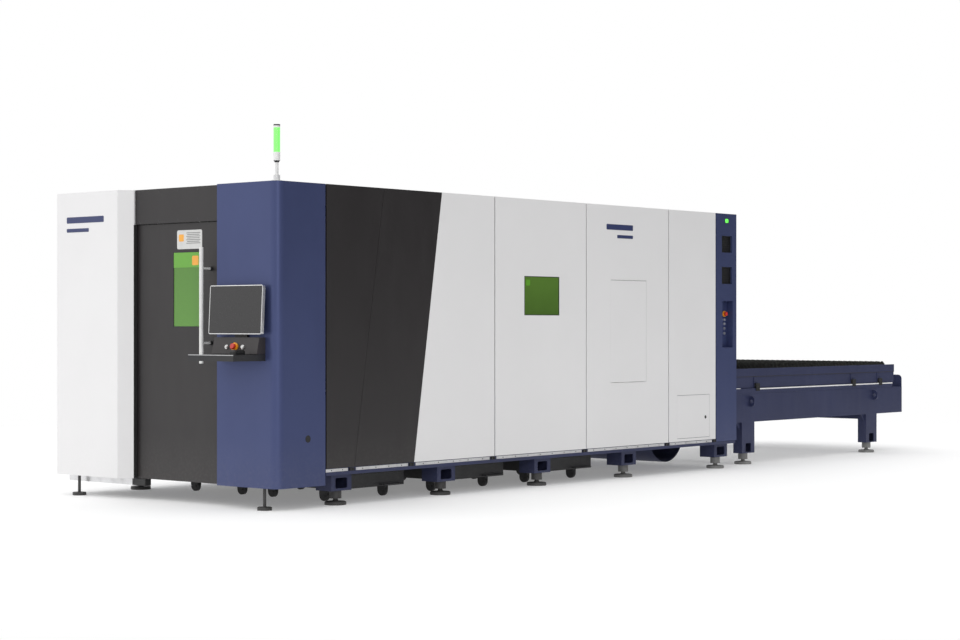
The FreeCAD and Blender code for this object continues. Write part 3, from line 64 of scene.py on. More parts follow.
class Way(Enum):
    """Direction a surface faces, as the turn that brings +Z to it."""

    LEFT = (0.0, -math.pi / 2, 0.0)
    NEAR = (math.pi / 2, 0.0, 0.0)
    FAR = (-math.pi / 2, 0.0, 0.0)
    UP = (0.0, 0.0, 0.0)

    @property
    def turn(self) -> Matrix:
        """Rotation from +Z to this direction."""
        return Euler(self.value).to_matrix()


@dataclass(frozen=True)
class Sheet:
    """Flat plate with rounded corners: its width, height, thickness and corner radius."""

    width: float
    height: float
    thick: float
    radius: float


@dataclass(frozen=True)
class Screw:
    """Screw head: its radius, how far it stands out, and its washer's radius over the head's."""

    radius: float
    depth: float
    washer: float = 1.5


# ---------------------------------------------------------------- finishes
class Wires:
    """Short ways of adding and joining nodes in one tree."""

    def __init__(self, tree: bpy.types.NodeTree) -> None:
        """Takes the tree that the nodes go in."""
        self.tree = tree

    def add(self, kind: str, **settings: object) -> bpy.types.Node:
        """Adds a node and sets its properties.

        Args:
            kind: the node's type.
            settings: properties by name.

        Returns:
            The new node.
        """
        node = self.tree.nodes.new(kind)
        for key, value in settings.items():
            setattr(node, key, value)
        return node

    def join(self, source: Socket, target: Socket) -> None:
        """Links an output to an input."""
        self.tree.links.new(source, target)

    def span(self, value: Socket, low: float, high: float, to_low: float = 0.0,
             to_high: float = 1.0) -> Socket:
        """Maps a value from one range to another, clamped.

        Args:
            value: the socket that gives the value.
            low: the value that becomes to_low.
            high: the value that becomes to_high.
            to_low: the result at low.
            to_high: the result at high.

        Returns:
            The result's socket.
        """
        node = self.add("ShaderNodeMapRange")
        for key, number in zip(("From Min", "From Max", "To Min", "To Max"), (low, high, to_low, to_high)):
            node.inputs[key].default_value = number
        self.join(value, node.inputs["Value"])
        return node.outputs["Result"]

    def math(self, way: str, first: Socket, second: Socket | float) -> Socket:
        """One arithmetic step.

        Args:
            way: the operation's name.
            first: the first value's socket.
            second: a socket or a number.

        Returns:
            The result's socket.
        """
        node = self.add("ShaderNodeMath", operation=way)
        self.join(first, node.inputs[0])
        if isinstance(second, float):
            node.inputs[1].default_value = second
        else:
            self.join(second, node.inputs[1])
        return node.outputs[0]


class NodeKit(Wires):
    """Nodes of one material, built round its own shader."""

    def __init__(self, name: str) -> None:
        """Makes the material.

        Args:
            name: the material's name.
        """
        self.material = bpy.data.materials.new(name)
        self.material.use_nodes = True
        super().__init__(self.material.node_tree)
        self.shader = self.tree.nodes["Principled BSDF"]
        self.place = self.add("ShaderNodeTexCoord").outputs["Object"]

    def noise(self, scale: float, detail: float = 3.0, stretch: Point = (1.0, 1.0, 1.0)) -> Socket:
        """Fractal noise over the object's own coordinates.

        Args:
            scale: cells per metre.
            detail: octaves.
            stretch: scale along each axis, to draw the noise out into a grain.

        Returns:
            The noise's value socket.
        """
        mapping = self.add("ShaderNodeMapping")
        mapping.inputs["Scale"].default_value = stretch
        self.join(self.place, mapping.inputs["Vector"])
        node = self.add("ShaderNodeTexNoise")
        node.inputs["Scale"].default_value = scale
        node.inputs["Detail"].default_value = detail
        self.join(mapping.outputs["Vector"], node.inputs["Vector"])
        return node.outputs["Fac"]

    def blend(self, share: Socket, first: Tone, second: Tone) -> Socket:
        """Colour that goes from the first tone to the second.

        Args:
            share: 0 for the first tone and 1 for the second.
            first: a colour or a colour socket.
            second: a colour or a colour socket.

        Returns:
            The blended colour's socket.
        """
        node = self.add("ShaderNodeMix", data_type="RGBA")
        self.join(share, node.inputs["Factor"])
        ends = [s for s in node.inputs if s.type == "RGBA"]
        for socket, tone in zip(ends, (first, second)):
            if isinstance(tone, tuple):
                socket.default_value = (*tone, 1.0)
            else:
                self.join(tone, socket)
        return next(s for s in node.outputs if s.type == "RGBA")

    def along(self, axis: str) -> Socket:
        """One of the object's own coordinates.

        Args:
            axis: X, Y or Z.

        Returns:
            The coordinate's socket.
        """
        node = self.add("ShaderNodeSeparateXYZ")
        self.join(self.place, node.inputs[0])
        return node.outputs[axis]

    def mottle(self, base: Colour, share: Socket, spread: float) -> Socket:
        """A colour that wavers about its own tone.

        Args:
            base: the middle tone.
            share: 0 for the darkest and 1 for the lightest.
            spread: how far it goes either way, as a share of the tone.

        Returns:
            The colour's socket.
        """
        return self.blend(share, scaled(base, 1.0 - spread), scaled(base, 1.0 + spread))

    def bump(self, value: Socket, depth: float) -> None:
        """Raises the surface.

        Args:
            value: the height's socket, from 0 to 1.
            depth: the height at 1, in metres.
        """
        node = self.add("ShaderNodeBump")
        node.inputs["Strength"].default_value = 1.0
        node.inputs["Distance"].default_value = depth
        self.join(value, node.inputs["Height"])
        self.join(node.outputs["Normal"], self.shader.inputs["Normal"])

    def colour(self, tone: Socket) -> None:
        """Sends a colour to the shader."""
        self.join(tone, self.shader.inputs["Base Color"])

    def roughness(self, value: Socket) -> None:
        """Sends a roughness to the shader."""
        self.join(value, self.shader.inputs["Roughness"])

    def fix(self, name: str, value: float | tuple[float, ...]) -> None:
        """Sets one of the shader's own numbers or colours."""
        self.shader.inputs[name].default_value = value


def scaled(colour: Colour, factor: float) -> Colour:
    """A colour made lighter or darker by a factor."""
    return tuple(min(1.0, c * factor) for c in colour)


@dataclass(frozen=True)
class Powder:
    """Powder-coated sheet metal: fine orange peel, faint clouding, and dust towards the floor."""

    name: str
    base: Colour
    sheen: float = 0.42
    clouding: float = 0.05
    dust: Colour = (0.34, 0.32, 0.29)
    dust_share: float = 0.12
    dust_height: float = 0.5
    peel_depth: float = 0.00006
    specular: float = 0.5
    metal: float = 0.0

    def make(self) -> bpy.types.Material:
        """Builds the material.

        Returns:
            The finished material.
        """
        kit = NodeKit(self.name)
        base = kit.mottle(self.base, kit.span(kit.noise(1.6, 4.0), 0.3, 0.7), self.clouding)
        low = kit.span(kit.along("Z"), 0.0, self.dust_height, 1.0, 0.0)
        specks = kit.span(kit.noise(45.0, 6.0), 0.45, 0.75, 0.35, 1.0)
        grime = kit.math("MULTIPLY", kit.math("MULTIPLY", low, specks), self.dust_share)
        kit.colour(kit.blend(grime, base, self.dust))
        smear = kit.noise(9.0, 5.0, (1.0, 1.0, 0.25))
        kit.roughness(kit.span(smear, 0.25, 0.75, self.sheen - 0.05, self.sheen + 0.07))
        kit.bump(kit.noise(520.0, 2.0), self.peel_depth)
        kit.fix("Specular IOR Level", self.specular)
        kit.fix("Metallic", self.metal)
        return kit.material


@dataclass(frozen=True)
class Steel:
    """Bare metal with a directional grain and darker, rougher patches."""

    name: str
    base: Colour
    stain: Colour
    polish: float = 0.34
    stain_share: float = 0.35
    grain: Point = (1.0, 1.0, 12.0)
    metal: float = 1.0

    def make(self) -> bpy.types.Material:
        """Builds the material.

        Returns:
            The finished material.
        """
        kit = NodeKit(self.name)
        lines = kit.noise(160.0, 3.0, self.grain)
        patches = kit.span(kit.noise(14.0, 5.0), 0.42, 0.72, 0.0, self.stain_share)
        base = kit.blend(kit.span(lines, 0.3, 0.7), scaled(self.base, 0.88), scaled(self.base, 1.1))
        kit.colour(kit.blend(patches, base, self.stain))
        kit.roughness(kit.span(patches, 0.0, self.stain_share, self.polish, self.polish + 0.25))
        kit.fix("Metallic", self.metal)
        kit.bump(lines, 0.00005)
        return kit.material


@dataclass(frozen=True)
class FootSteel:
    """Steel feet, grey towards the changer and darkened towards the operator's end by painted shade, with
    near-black stains.
    """

    name: str
    # the near-black tone is both the stains' colour and the painted shade at the operator's end
    dark_stain_and_shade: Colour = (0.045, 0.043, 0.043)
    feet_grey: Colour = (0.24, 0.24, 0.235)
    start: float = -1.6
    end: float = 0.6

    def make(self) -> bpy.types.Material:
        """Builds the material.

        Returns:
            The finished material.
        """
        kit = NodeKit(self.name)
        # painted shade: the feet go from grey at the changer end to near black towards the operator's end
        share = kit.span(kit.along("X"), self.start, self.end)
        stain = kit.span(kit.noise(22.0, 4.0), 0.4, 0.75, 0.0, 0.35)
        kit.colour(kit.blend(stain, kit.blend(share, self.dark_stain_and_shade, self.feet_grey), self.dark_stain_and_shade))
        kit.roughness(kit.span(kit.noise(90.0, 3.0), 0.3, 0.7, 0.45, 0.6))
        kit.bump(kit.noise(400.0, 3.0), 0.0001)
        return kit.material


@dataclass(frozen=True)
class Slat:
    """Laser-cut mild steel slats: grey sides, burnt and spattered towards the teeth."""

    name: str
    level: float
    tooth: float = 0.026
    base: Colour = (0.06, 0.062, 0.058)
    burnt: Colour = (0.018, 0.018, 0.017)
    rust: Colour = (0.075, 0.05, 0.035)

    def make(self) -> bpy.types.Material:
        """Builds the material.

        Returns:
            The finished material.
        """
        kit = NodeKit(self.name)
        near_top = kit.span(kit.along("Z"), self.level - self.tooth * 2.0, self.level)
        blotch = kit.span(kit.noise(38.0, 6.0), 0.35, 0.68)
        char = kit.math("MULTIPLY", near_top, blotch)
        rusty = kit.span(kit.noise(7.0, 5.0), 0.55, 0.78, 0.0, 0.5)
        kit.colour(kit.blend(char, kit.blend(rusty, self.base, self.rust), self.burnt))
        kit.roughness(kit.span(blotch, 0.0, 1.0, 0.45, 0.75))
        kit.fix("Metallic", 0.75)
        kit.bump(kit.noise(300.0, 5.0), 0.0002)
        return kit.material


@dataclass(frozen=True)
class Plastic:
    """Moulded plastic or rubber with a fine grain."""

    name: str
    base: Colour
    rough: float = 0.4
    grain_scale: float = 900.0
    grain_depth: float = 0.00005
    coat: float = 0.0
    glow: float = 0.0
    clouding: float = 0.05

    def make(self) -> bpy.types.Material:
        """Builds the material.

        Returns:
            The finished material.
        """
        kit = NodeKit(self.name)
        kit.colour(kit.mottle(self.base, kit.span(kit.noise(18.0), 0.3, 0.7), self.clouding))
        kit.roughness(kit.span(kit.noise(60.0, 3.0), 0.3, 0.7, self.rough - 0.04, self.rough + 0.06))
        kit.bump(kit.noise(self.grain_scale, 2.0), self.grain_depth)
        kit.fix("Coat Weight", self.coat)
        if self.glow:
            kit.fix("Emission Color", (*self.base, 1.0))
            kit.fix("Emission Strength", self.glow)
        return kit.material


@dataclass(frozen=True)
class Pane:
    """Green laser-safety acrylic, seen as a glossy tinted sheet with a faint gradient."""

    name: str
    low: Colour
    high: Colour
    bottom: float
    top: float
    rough: float = 0.08

    def make(self) -> bpy.types.Material:
        """Builds the material.

        Returns:
            The finished material.
        """
        kit = NodeKit(self.name)
        rise = kit.span(kit.along("Z"), self.bottom, self.top)
        haze = kit.span(kit.noise(5.0, 4.0), 0.35, 0.7, 0.0, 0.16)
        kit.colour(kit.blend(haze, kit.blend(rise, self.low, self.high), scaled(self.high, 1.25)))
        kit.roughness(kit.span(kit.noise(30.0, 3.0), 0.3, 0.7, self.rough, self.rough + 0.05))
        kit.fix("Coat Weight", 0.2)
        kit.fix("Coat Roughness", 0.04)
        return kit.material


NAVY: Colour = (0.056, 0.072, 0.172)
NAVY_FRAME: Colour = (0.036, 0.043, 0.102)
CHARCOAL: Colour = (0.017, 0.0145, 0.0155)
WHITE: Colour = (0.79, 0.785, 0.79)


class Palette:
    """Every finish of the machine, made once and shared by name."""

    def __init__(self) -> None:
        """Makes every finish, with panes and slats shaded by their own levels."""
        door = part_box("door_window")
        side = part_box("side_window")
        top_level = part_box("upper_pallet_slats")[1].z
        low_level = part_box("lower_pallet_slats")[1].z
        finishes = [
            Powder("navy_powder", NAVY, sheen=0.4, clouding=0.04, specular=0.35, metal=0.4),
            Powder("navy_weldment", NAVY_FRAME, sheen=0.48, clouding=0.1, dust_share=0.08, specular=0.35,
                   metal=0.25),
            Powder("charcoal_powder", CHARCOAL, sheen=0.42, clouding=0.06),
            Powder("white_powder", WHITE, sheen=0.42, clouding=0.012, dust=(0.5, 0.48, 0.45), specular=0.2),
            Powder("black_powder", (0.016, 0.016, 0.018), sheen=0.5, clouding=0.15, dust_share=0.05),
            Powder("console_powder", (0.03, 0.026, 0.027), sheen=0.42, clouding=0.05),
            Powder("grey_machine", (0.3, 0.31, 0.33), sheen=0.45, clouding=0.08),
            Powder("mark_navy", (0.03, 0.042, 0.13), sheen=0.36, clouding=0.03),
            Steel("satin_aluminium", (0.74, 0.74, 0.75), (0.5, 0.5, 0.5), 0.32, 0.2, (1.0, 12.0, 12.0)),
            Steel("blackened_steel", (0.09, 0.09, 0.095), (0.04, 0.035, 0.03), 0.42, 0.5, metal=0.8),
            FootSteel("foot_steel"),
            Steel("zinc_steel", (0.52, 0.52, 0.53), (0.3, 0.29, 0.27), 0.3, 0.3),
            Steel("ground_steel", (0.6, 0.6, 0.61), (0.4, 0.39, 0.37), 0.2, 0.2, (1.0, 10.0, 10.0)),
            Steel("silver_trim", (0.78, 0.78, 0.78), (0.6, 0.6, 0.6), 0.28, 0.1),
            Slat("upper_slats", top_level),
            Slat("lower_slats", low_level),
            Plastic("black_plastic", (0.012, 0.012, 0.013), 0.45),
            Plastic("dark_glass", (0.02, 0.019, 0.02), 0.3, coat=0.1, grain_depth=0.0, clouding=0.01),
            Plastic("grey_bezel", (0.42, 0.42, 0.43), 0.35),
            Plastic("satin_grip", (0.74, 0.74, 0.73), 0.34, coat=0.2),
            # rail_white also paints the highlight along the changer beam's top
            Plastic("rail_white", (0.9, 0.9, 0.9), 0.3, coat=0.3),
            Plastic("white_plastic", (0.78, 0.78, 0.77), 0.32, coat=0.2),
            Plastic("signal_red", (0.62, 0.03, 0.015), 0.28, coat=0.3),
            Plastic("signal_yellow", (0.85, 0.34, 0.015), 0.32, coat=0.2),
            Plastic("amber", (0.86, 0.4, 0.06), 0.4),
            Plastic("rubber_black", (0.015, 0.015, 0.015), 0.7, grain_depth=0.0001),
            Plastic("label_grey", (0.62, 0.62, 0.61), 0.45),
            Plastic("print_grey", (0.2, 0.2, 0.2), 0.5),
            Plastic("lamp_green", (0.16, 0.85, 0.12), 0.3, coat=0.3, glow=0.9),
            Plastic("indicator_green", (0.14, 0.8, 0.1), 0.3, coat=0.3, glow=0.7),
            Pane("door_pane", (0.092, 0.255, 0.03), (0.072, 0.205, 0.02), door[0].z, door[1].z),
            Pane("door_band", (0.11, 0.345, 0.026), (0.12, 0.36, 0.03), door[0].z, door[1].z),
            Pane("side_pane", (0.062, 0.135, 0.018), (0.095, 0.2, 0.028), side[0].z, side[1].z),
        ]
        self.finishes = {finish.name: finish.make() for finish in finishes}

    def __getitem__(self, name: str) -> bpy.types.Material:
        """The material of a name."""
        return self.finishes[name]


NODES_BY_FINISH: dict[str, tuple[str, ...]] = {
    "navy_weldment": (
        "bed_frame", "exhaust_trough", "changer_frame", "upper_pallet_frame", "lower_pallet_frame",
    ),
    "black_powder": (
        "enclosure_frame", "keyboard_tray", "head_carriage", "scrap_cart_1", "scrap_cart_2", "scrap_cart_3",
    ),
    "foot_steel": ("levelling_feet",),
    "navy_powder": ("corner_column", "rear_columns"),
    "charcoal_powder": (
        "front_header", "door_panel", "rear_bulkhead", "side_panel_dark_front", "side_panel_dark_rear",
    ),
    "white_powder": (
        "front_left_cover", "access_door", "service_hatch", "far_side_panels", "roof_panels",
        "side_panel_white_1", "side_panel_white_2", "side_panel_white_3", "side_panel_white_4",
    ),
    "satin_aluminium": ("door_tracks", "base_strips"),
    "door_pane": ("door_window",),
    "satin_grip": ("door_handle",),
    "side_pane": ("side_window",),
    "black_plastic": ("hatch_latch", "vent_inserts", "mouse", "tower_light_caps"),
    "rubber_black": ("seam_blocks",),
    "console_powder": ("console_housing",),
    "silver_trim": (
        "screen_unit", "cutting_head", "rear_button_1", "rear_button_2", "rear_button_3", "rear_button_4",
        "button_bezels",
    ),
    "grey_machine": ("drive_unit", "gantry_beam"),
    "upper_slats": ("upper_pallet_slats",),
    "blackened_steel": ("upper_pallet_wheels", "lower_pallet_wheels"),
    "lower_slats": ("lower_pallet_slats",),
    "ground_steel": ("gantry_rails",),
    "signal_yellow": ("estop_bases",),
    "signal_red": ("estop_button", "rear_estop_button"),
    "white_plastic": ("start_button", "stop_button", "tower_light_pole"),
    "lamp_green": ("tower_light_lens",),
}
CAD_FINISH = {node: finish for finish, nodes in NODES_BY_FINISH.items() for node in nodes}


# ---------------------------------------------------------------- mesh tools
class Shop:
    """Makes finished pieces and hands them to the frame."""

    def __init__(self, palette: Palette) -> None:
        """Opens with the machine's finishes and nothing made."""
        self.palette = palette
        self.made = 0

    def finish(self, name: str, mesh: bpy.types.Mesh, finish: str, body: str, smooth: bool = False) -> None:
        """Puts a mesh in the scene as one piece of a body.

        Args:
            name: the piece's name.
            mesh: its mesh, already in place.
            finish: the name of its material.
            body: the CAD body that it rides on.
            smooth: whether it is shaded smooth by angle.
        """
        mesh.materials.clear()
        mesh.materials.append(self.palette[finish])
        piece = bpy.data.objects.new(name, mesh)
        bpy.context.scene.collection.objects.link(piece)
        if smooth:
            mesh.shade_smooth()
            mesh.set_sharp_from_angle(angle=math.radians(35))
        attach(piece, body)
        self.made += 1
        LOG.info("%s rides on %s", name, body)

    def block(self, name: str, low: Sequence[float], high: Sequence[float], finish: str,
              body: str = "machine", bevel: float = 0.001) -> None:
        """Box with rounded edges.

        Args:
            name: the piece's name.
            low: its lowest corner.
            high: its highest corner.
            finish: the name of its material.
            body: the body that it rides on.
            bevel: the most that its edges are rounded by.
        """
        work = bmesh.new()
        centre = [(a + b) / 2 for a, b in zip(low, high)]
        size = [b - a for a, b in zip(low, high)]
        place = Matrix.Translation(centre) @ Matrix.Diagonal((*size, 1.0))
        bmesh.ops.create_cube(work, size=1.0, matrix=place)
        reach = min(bevel, min(size) * EDGE_SHARE)
        bmesh.ops.bevel(work, geom=work.edges[:], offset=reach, segments=2, affect="EDGES", profile=0.6)
        self.finish(name, self.to_mesh(name, work), finish, body)

    def plate(self, name: str, back: Sequence[float], sheet: Sheet, way: Way, finish: str,
              body: str = "machine", lean: float = 0.0) -> None:
        """Flat plate with rounded corners.

        Args:
            name: the piece's name.
            back: the middle of its back.
            sheet: its sizes.
            way: the direction of its face.
            finish: the name of its material.
            body: the body that it rides on.
            lean: turn about Y, in degrees, about its own middle.
        """
        outline = rounded_outline(sheet.width, sheet.height, sheet.radius)
        mesh = self.cut(name, outline, back, sheet.thick, way)
        if lean:
            middle = sum((v.co for v in mesh.vertices), Vector()) / len(mesh.vertices)
            tilt = Matrix.Rotation(math.radians(lean), 3, "Y")
            for vertex in mesh.vertices:
                vertex.co = middle + tilt @ (vertex.co - middle)
        self.finish(name, mesh, finish, body)

    def cut(self, name: str, outline: list[Pair], back: Sequence[float], thick: float,
            way: Way) -> bpy.types.Mesh:
        """Plate cut to an outline in its own plane.

        Args:
            name: the mesh's name.
            outline: points across and up the plate.
            back: the outline's origin, on the plate's back.
            thick: how far it stands out.
            way: the direction of its face.

        Returns:
            The plate's mesh.
        """
        across, up, out = plate_axes(way)
        work = bmesh.new()
        face = work.faces.new([work.verts.new(Vector(back) + across * a + up * b) for a, b in outline])
        moved = bmesh.ops.extrude_face_region(work, geom=[face])
        front = [v for v in moved["geom"] if isinstance(v, bmesh.types.BMVert)]
        bmesh.ops.translate(work, verts=front, vec=out * thick)
        bmesh.ops.recalc_face_normals(work, faces=work.faces[:])
        rim = [e for e in work.edges if all(v in front for v in e.verts)]
        reach = min(PLATE_BEVEL, thick * EDGE_SHARE)
        bmesh.ops.bevel(work, geom=rim, offset=reach, segments=1, affect="EDGES")
        return self.to_mesh(name, work)

    def lathe(self, name: str, profile: Sequence[Pair], base: Point, way: Way, finish: str, body: str,
              sides: int = 40) -> None:
        """Turned piece, closed at both ends.

        Args:
            name: the piece's name.
            profile: radius and level pairs, from the base out.
            base: the middle of its base.
            way: the direction of its axis.
            finish: the name of its material.
            body: the body that it rides on.
            sides: the number of faces round it.
        """
        work = bmesh.new()
        rings = []
        for radius, level in profile:
            ring = []
            for k in range(sides):
                angle = 2 * math.pi * k / sides
                local = Vector((radius * math.cos(angle), radius * math.sin(angle), level))
                ring.append(work.verts.new(Vector(base) + way.turn @ local))
            rings.append(ring)
        for lower, upper in zip(rings, rings[1:]):
            for k in range(sides):
                after = (k + 1) % sides
                work.faces.new((lower[k], lower[after], upper[after], upper[k]))
        work.faces.new(list(reversed(rings[0])))
        work.faces.new(rings[-1])
        bmesh.ops.recalc_face_normals(work, faces=work.faces[:])
        self.finish(name, self.to_mesh(name, work), finish, body, smooth=True)

    def pane_seal(self, name: str, pane: str, width: float, way: Way, body: str) -> None:
        """Thin rubber frame round the opening over a window's pane.

        Args:
            name: the start of its pieces' names.
            pane: the pane's node.
            width: how wide the rubber shows.
            way: the direction that the window faces, left or near.
            body: the body that it rides on.
        """
        low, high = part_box(pane)
        across = 1 if way is Way.LEFT else 0
        a, b = low[across] + PANE_SEAT, high[across] - PANE_SEAT
        foot, top = low.z + PANE_SEAT, high.z - PANE_SEAT
        bars = (((a, foot), (b, foot + width)), ((a, top - width), (b, top)),
                ((a, foot + width), (a + width, top - width)), ((b - width, foot + width), (b, top - width)))
        for i, (first, last) in enumerate(bars):
            if way is Way.LEFT:
                start, end = (low.x - SEAL_PROUD, *first), (low.x, *last)
            else:
                start, end = (first[0], low.y - SEAL_PROUD, first[1]), (last[0], low.y, last[1])
            self.block("%s_%d" % (name, i + 1), start, end, "rubber_black", body, 0.0005)

    def bar_pair(self, name: str, place: Point, width: float, thick: float, way: Way) -> None:
        """Plain navy bar with a shorter one under it, both ending at the same edge.

        Args:
            name: the start of the two pieces' names.
            place: the long bar's middle, on the panel.
            width: the long bar's width.
            thick: how far the bars stand out.
            way: the direction that they face.
        """
        shift = width * (1 - SHORT_BAR) / 2
        step = (0.0, shift, -BAR_DROP) if way is Way.LEFT else (shift, 0.0, -BAR_DROP)
        long = Sheet(width, BAR_HEIGHT, thick, BAR_RADIUS)
        short = Sheet(width * SHORT_BAR, BAR_HEIGHT * SHORT_BAR, thick, SHORT_BAR_RADIUS)
        self.plate(name + "_long", place, long, way, "mark_navy")
        self.plate(name + "_short", Vector(place) + Vector(step), short, way, "mark_navy")

    @staticmethod
    def to_mesh(name: str, work: bmesh.types.BMesh) -> bpy.types.Mesh:
        """Turns a working mesh into a finished one.

        Args:
            name: the mesh's name.
            work: the working mesh, which is freed.

        Returns:
            The finished mesh.
        """
        mesh = bpy.data.meshes.new(name)
        work.to_mesh(mesh)
        work.free()
        return mesh


def plate_axes(way: Way) -> tuple[Vector, Vector, Vector]:
    """Directions of a plate that faces one way.

    Args:
        way: the direction of its face.

    Returns:
        Its directions across, up and out.
    """
    out = way.turn @ Vector((0.0, 0.0, 1.0))
    up = Vector((0.0, 1.0, 0.0)) if way is Way.UP else Vector((0.0, 0.0, 1.0))
    return up.cross(out), up, out


def rounded_outline(width: float, height: float, radius: float, steps: int = 6) -> list[Pair]:
    """Outline of a rectangle with round corners, centred on its origin.

    Args:
        width: the rectangle's width.
        height: its height.
        radius: its corners' radius.
        steps: straight stretches in each corner.

    Returns:
        Points round the outline.
    """
    points = []
    for k, (sx, sy) in enumerate(((1, 1), (-1, 1), (-1, -1), (1, -1))):
        for i in range(steps + 1):
            angle = math.pi / 2 * (k + i / steps)
            x = sx * (width / 2 - radius) + radius * math.cos(angle)
            y = sy * (height / 2 - radius) + radius * math.sin(angle)
            points.append((x, y))
    return points


def spaced(low: float, high: float, count: int) -> list[float]:
    """Evenly spaced places from low to high, both ends included.

    Args:
        low: the first place.
        high: the last place.
        count: how many, two or more.

    Returns:
        The places.
    """
    return [low + (high - low) * i / (count - 1) for i in range(count)]


class GrowthTree(Wires):
    """Geometry Nodes tree that puts one shape on every point of a mesh."""

    def __init__(self, name: str, finish: bpy.types.Material, turn: Point, sizes: dict[str, float]) -> None:
        """Makes the tree with its inputs, and the nodes that every such tree ends in.

        Args:
            name: the tree's name.
            finish: the shapes' material.
            turn: how each shape is turned.
            sizes: the named inputs with their first values.
        """
        super().__init__(bpy.data.node_groups.new(name, "GeometryNodeTree"))
        face = self.tree.interface
        face.new_socket("Points", in_out="INPUT", socket_type="NodeSocketGeometry")
        self.sockets = {}
        for key, value in sizes.items():
            socket = face.new_socket(key, in_out="INPUT", socket_type="NodeSocketFloat")
            socket.default_value = value
            self.sockets[key] = socket.identifier
        face.new_socket("Shapes", in_out="OUTPUT", socket_type="NodeSocketGeometry")
        self.start = self.add("NodeGroupInput").outputs
        copies = self.add("GeometryNodeInstanceOnPoints")
        copies.inputs["Rotation"].default_value = turn
        self.join(self.start["Points"], copies.inputs["Points"])
        self.join(self.shape(), copies.inputs["Instance"])
        real = self.add("GeometryNodeRealizeInstances")
        self.join(copies.outputs["Instances"], real.inputs["Geometry"])
        coat = self.add("GeometryNodeSetMaterial")
        coat.inputs["Material"].default_value = finish
        self.join(real.outputs["Geometry"], coat.inputs["Geometry"])
        self.join(coat.outputs["Geometry"], self.add("NodeGroupOutput").inputs["Shapes"])

    def shape(self) -> Socket:
        """The shape that goes on every point."""
        raise NotImplementedError

    def grow(self, name: str, points: Iterable[Sequence[float]], sizes: dict[str, float]) -> bpy.types.Mesh:
        """Grows the shapes on some points.

        Args:
            name: the mesh's name.
            points: their places.
            sizes: values of the tree's inputs.

        Returns:
            A plain mesh of all the shapes.
        """
        seeds = bpy.data.meshes.new(name + "_points")
        seeds.from_pydata([tuple(p) for p in points], [], [])
        holder = bpy.data.objects.new(name + "_points", seeds)
        bpy.context.scene.collection.objects.link(holder)
        modifier = holder.modifiers.new("shapes", "NODES")
        modifier.node_group = self.tree
        for key, value in sizes.items():
            modifier[self.sockets[key]] = value
        graph = bpy.context.evaluated_depsgraph_get()
        mesh = bpy.data.meshes.new_from_object(holder.evaluated_get(graph))
        mesh.name = name
        holder.modifiers.clear()
        bpy.data.objects.remove(holder)
        return mesh


class HeadTree(GrowthTree):
    """Screw head with a washer."""

    SIDES = 20
    WASHER_DEPTH = 0.35
    SIZES = {"Radius": 0.005, "Depth": 0.003, "Washer": 1.5}

    def __init__(self, name: str, finish: bpy.types.Material, way: Way) -> None:
        """Makes the tree for heads that face one way."""
        super().__init__(name, finish, way.value, self.SIZES)

    def shape(self) -> Socket:
        """A head standing on its washer.

        Returns:
            The shape's socket.
        """
        head, washer = (self.add("GeometryNodeMeshCylinder") for _ in range(2))
        for disc in (head, washer):
            disc.inputs["Vertices"].default_value = self.SIDES
        self.join(self.start["Radius"], head.inputs["Radius"])
        self.join(self.start["Depth"], head.inputs["Depth"])
        self.join(self.math("MULTIPLY", self.start["Radius"], self.start["Washer"]), washer.inputs["Radius"])
        self.join(self.math("MULTIPLY", self.start["Depth"], self.WASHER_DEPTH), washer.inputs["Depth"])
        rise = self.add("ShaderNodeCombineXYZ")
        self.join(self.math("MULTIPLY", self.start["Depth"], 0.5), rise.inputs["Z"])
        lift = self.add("GeometryNodeTransform")
        self.join(head.outputs["Mesh"], lift.inputs["Geometry"])
        self.join(rise.outputs[0], lift.inputs["Translation"])
        both = self.add("GeometryNodeJoinGeometry")
        self.join(lift.outputs["Geometry"], both.inputs["Geometry"])
        self.join(washer.outputs["Mesh"], both.inputs["Geometry"])
        return both.outputs["Geometry"]


class RingTree(GrowthTree):
    """Thin round ring."""

    def __init__(self, name: str, finish: bpy.types.Material) -> None:
        """Makes the tree for level rings."""
        super().__init__(name, finish, Way.UP.value, {"Radius": 0.03, "Bead": 0.0007})

    def shape(self) -> Socket:
        """A bead swept round a hoop.

        Returns:
            The shape's socket.
        """
        sweep = self.add("GeometryNodeCurveToMesh")
        for size, sides, end in (("Radius", 36, "Curve"), ("Bead", 6, "Profile Curve")):
            circle = self.add("GeometryNodeCurvePrimitiveCircle")
            circle.inputs["Resolution"].default_value = sides
            self.join(self.start[size], circle.inputs["Radius"])
            self.join(circle.outputs["Curve"], sweep.inputs[end])
        return sweep.outputs["Mesh"]


class Fasteners:
    """Rows of screws, with one tree for each finish and direction."""

    def __init__(self, shop: Shop) -> None:
        """Takes the shop that finishes the rows."""
        self.shop = shop
        self.trees: dict[tuple[str, Way], HeadTree] = {}

    def add(self, name: str, points: Iterable[Sequence[float]], screw: Screw, way: Way,
            finish: str = "blackened_steel", body: str = "machine") -> None:
        """Puts one head at each point, all in one piece.

        Args:
            name: the piece's name.
            points: places on the surface.
            screw: the head's sizes.
            way: the direction that they face.
            finish: the name of their material.
            body: the body that they ride on.
        """
        if (finish, way) not in self.trees:
            label = "%s_heads_%s" % (finish, way.name.lower())
            self.trees[finish, way] = HeadTree(label, self.shop.palette[finish], way)
        sizes = {"Radius": screw.radius, "Depth": screw.depth, "Washer": screw.washer}
        mesh = self.trees[finish, way].grow(name, points, sizes)
        self.shop.finish(name, mesh, finish, body, smooth=True)


# ---------------------------------------------------------------- sub-assemblies
@dataclass
class SubAssembly:
    """A group of pieces that are made and dressed together."""

    shop: Shop
    screws: Fasteners

    def build(self) -> None:
        """Makes every piece of the group."""
        raise NotImplementedError


